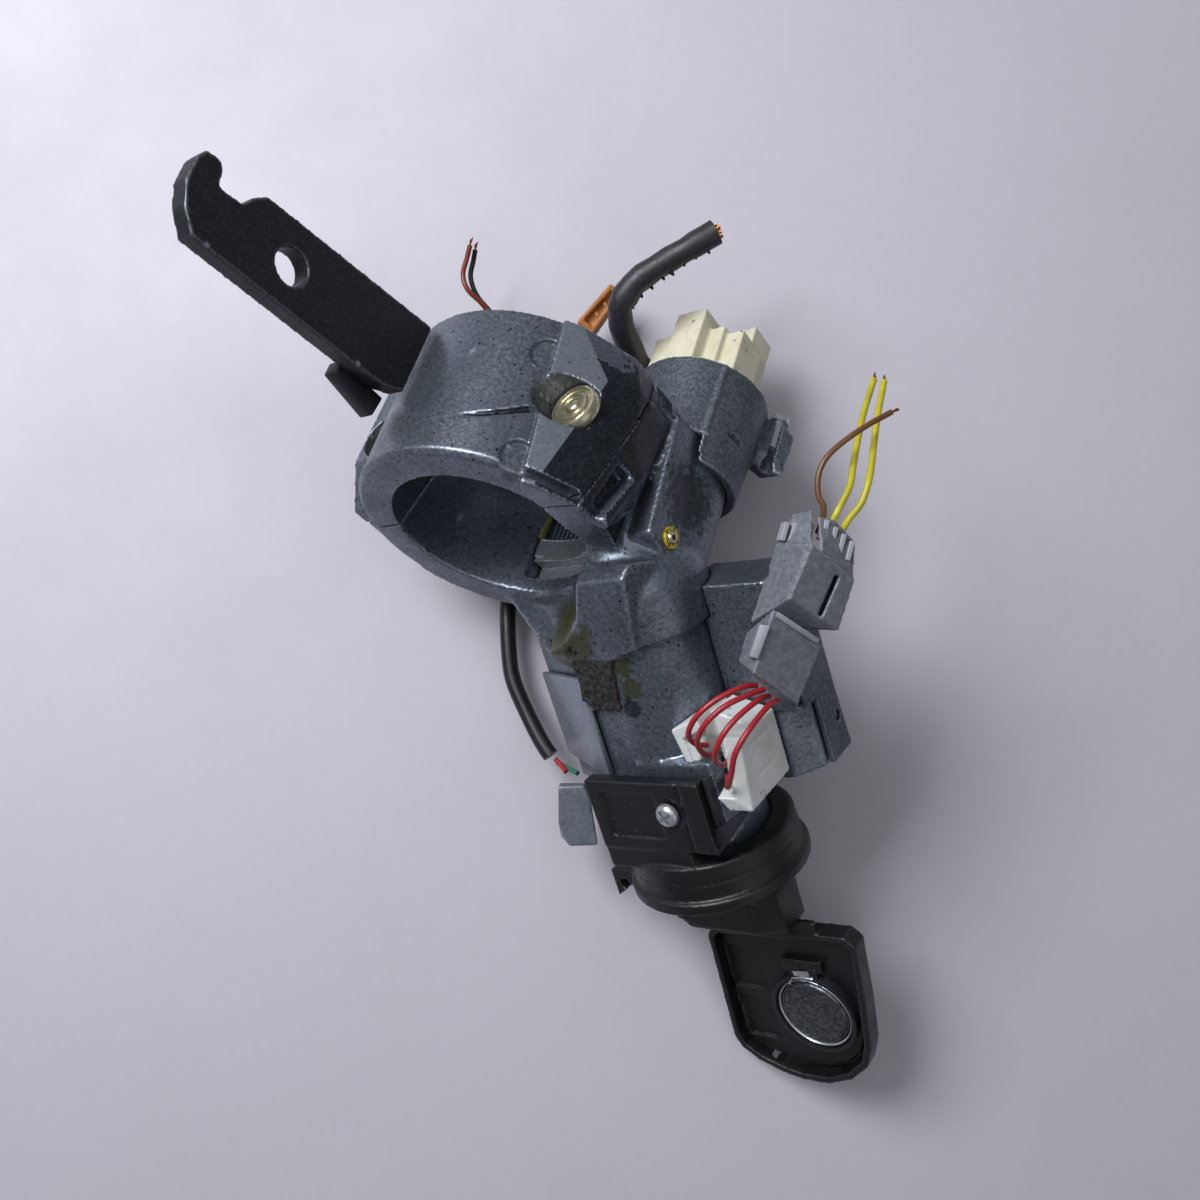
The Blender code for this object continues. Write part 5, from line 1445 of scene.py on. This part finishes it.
class SWITCH_OT_stage(bpy.types.Operator):
    """Set the floor, the lamps and the camera"""
    bl_idname = "switch.stage"
    bl_label = "Floor, lamps and camera"

    def execute(self, context):
        scene = context.scene
        bm = bmesh.new()
        bmesh.ops.create_grid(bm, x_segments=1, y_segments=1, size=1.6)
        mesh = bpy.data.meshes.new("floor")
        bm.to_mesh(mesh)
        bm.free()
        floor = bpy.data.objects.new("floor", mesh)
        scene.collection.objects.link(floor)
        paint = colours()
        material = surface("painted board", paint.floor, tuple(0.8 * c for c in paint.floor),
                           None, 0.0, 0.6, grain=3, grain_mix=0.05, blotch=90, blotch_mix=0.25,
                           bump=0.01)
        mesh.materials.append(material)
        middle = Vector((6.8, 20.7, 30.0)) * MM
        for label, spot, wide, watts, tint in (
                ("window lamp", (-0.34, 0.3, 0.5), 0.3, 5.2, (0.94, 0.97, 1.0)),
                ("overhead lamp", (0.05, 0.16, 0.85), 0.6, 1.1, (0.98, 0.99, 1.0)),
                ("far lamp", (0.45, -0.35, 0.5), 0.5, 0.35, (1.0, 0.98, 0.95))):
            lamp = bpy.data.lights.new(label, "AREA")
            lamp.energy = watts
            lamp.size = wide
            lamp.color = tint
            stand = bpy.data.objects.new(label, lamp)
            stand.location = Vector(spot) + middle
            stand.rotation_euler = (-Vector(spot)).to_track_quat("-Z", "Y").to_euler()
            scene.collection.objects.link(stand)
        world = bpy.data.worlds.new("soft room")
        world.use_nodes = True
        ground = world.node_tree.nodes["Background"]
        ground.inputs["Color"].default_value = (0.78, 0.82, 0.9, 1.0)
        ground.inputs["Strength"].default_value = 0.2
        scene.world = world
        scene.view_settings.view_transform = "Standard"
        camera = bpy.data.cameras.new("photo camera")
        camera.lens = 36.0
        camera.sensor_width = 36.0
        camera.sensor_fit = "HORIZONTAL"
        camera.clip_start = 0.01
        stand = bpy.data.objects.new("photo camera", camera)
        stand.location = tuple(c * MM for c in CAMERA_SPOT)
        scene.collection.objects.link(stand)
        scene.camera = stand
        return {"FINISHED"}


class SWITCH_PT_panel(bpy.types.Panel):
    """Sizes, colours and the building steps"""
    bl_idname = "SWITCH_PT_panel"
    bl_label = "Ignition switch"
    bl_space_type = "VIEW_3D"
    bl_region_type = "UI"
    bl_category = "Ignition"

    def draw(self, context):
        layout = self.layout
        for group in (context.scene.switch_sizes, context.scene.switch_colours):
            column = layout.column()
            for key in group.__annotations__:
                column.prop(group, key)
        for step in STEPS:
            layout.operator(step.bl_idname)


STEPS = (SWITCH_OT_stage, SWITCH_OT_cords, SWITCH_OT_clamp, SWITCH_OT_housing,
         SWITCH_OT_lock_bolt, SWITCH_OT_key, SWITCH_OT_antenna, SWITCH_OT_interlock,
         SWITCH_OT_contacts, SWITCH_OT_connectors, SWITCH_OT_inner)
CLASSES = (SwitchSizes, SwitchColours) + STEPS + (SWITCH_PT_panel,)


def register():
    for item in CLASSES:
        bpy.utils.register_class(item)
    bpy.types.Scene.switch_sizes = bpy.props.PointerProperty(type=SwitchSizes)
    bpy.types.Scene.switch_colours = bpy.props.PointerProperty(type=SwitchColours)


def unregister():
    del bpy.types.Scene.switch_colours
    del bpy.types.Scene.switch_sizes
    for item in reversed(CLASSES):
        bpy.utils.unregister_class(item)


def main():
    register()
    bpy.ops.switch.stage()
    bpy.ops.switch.cords()
    bpy.ops.switch.clamp()
    bpy.ops.switch.housing()
    bpy.ops.switch.lock_bolt()
    bpy.ops.switch.key()
    bpy.ops.switch.antenna()
    bpy.ops.switch.interlock()
    bpy.ops.switch.contacts()
    bpy.ops.switch.connectors()
    bpy.ops.switch.inner()


if __name__ == "__main__":
    main()
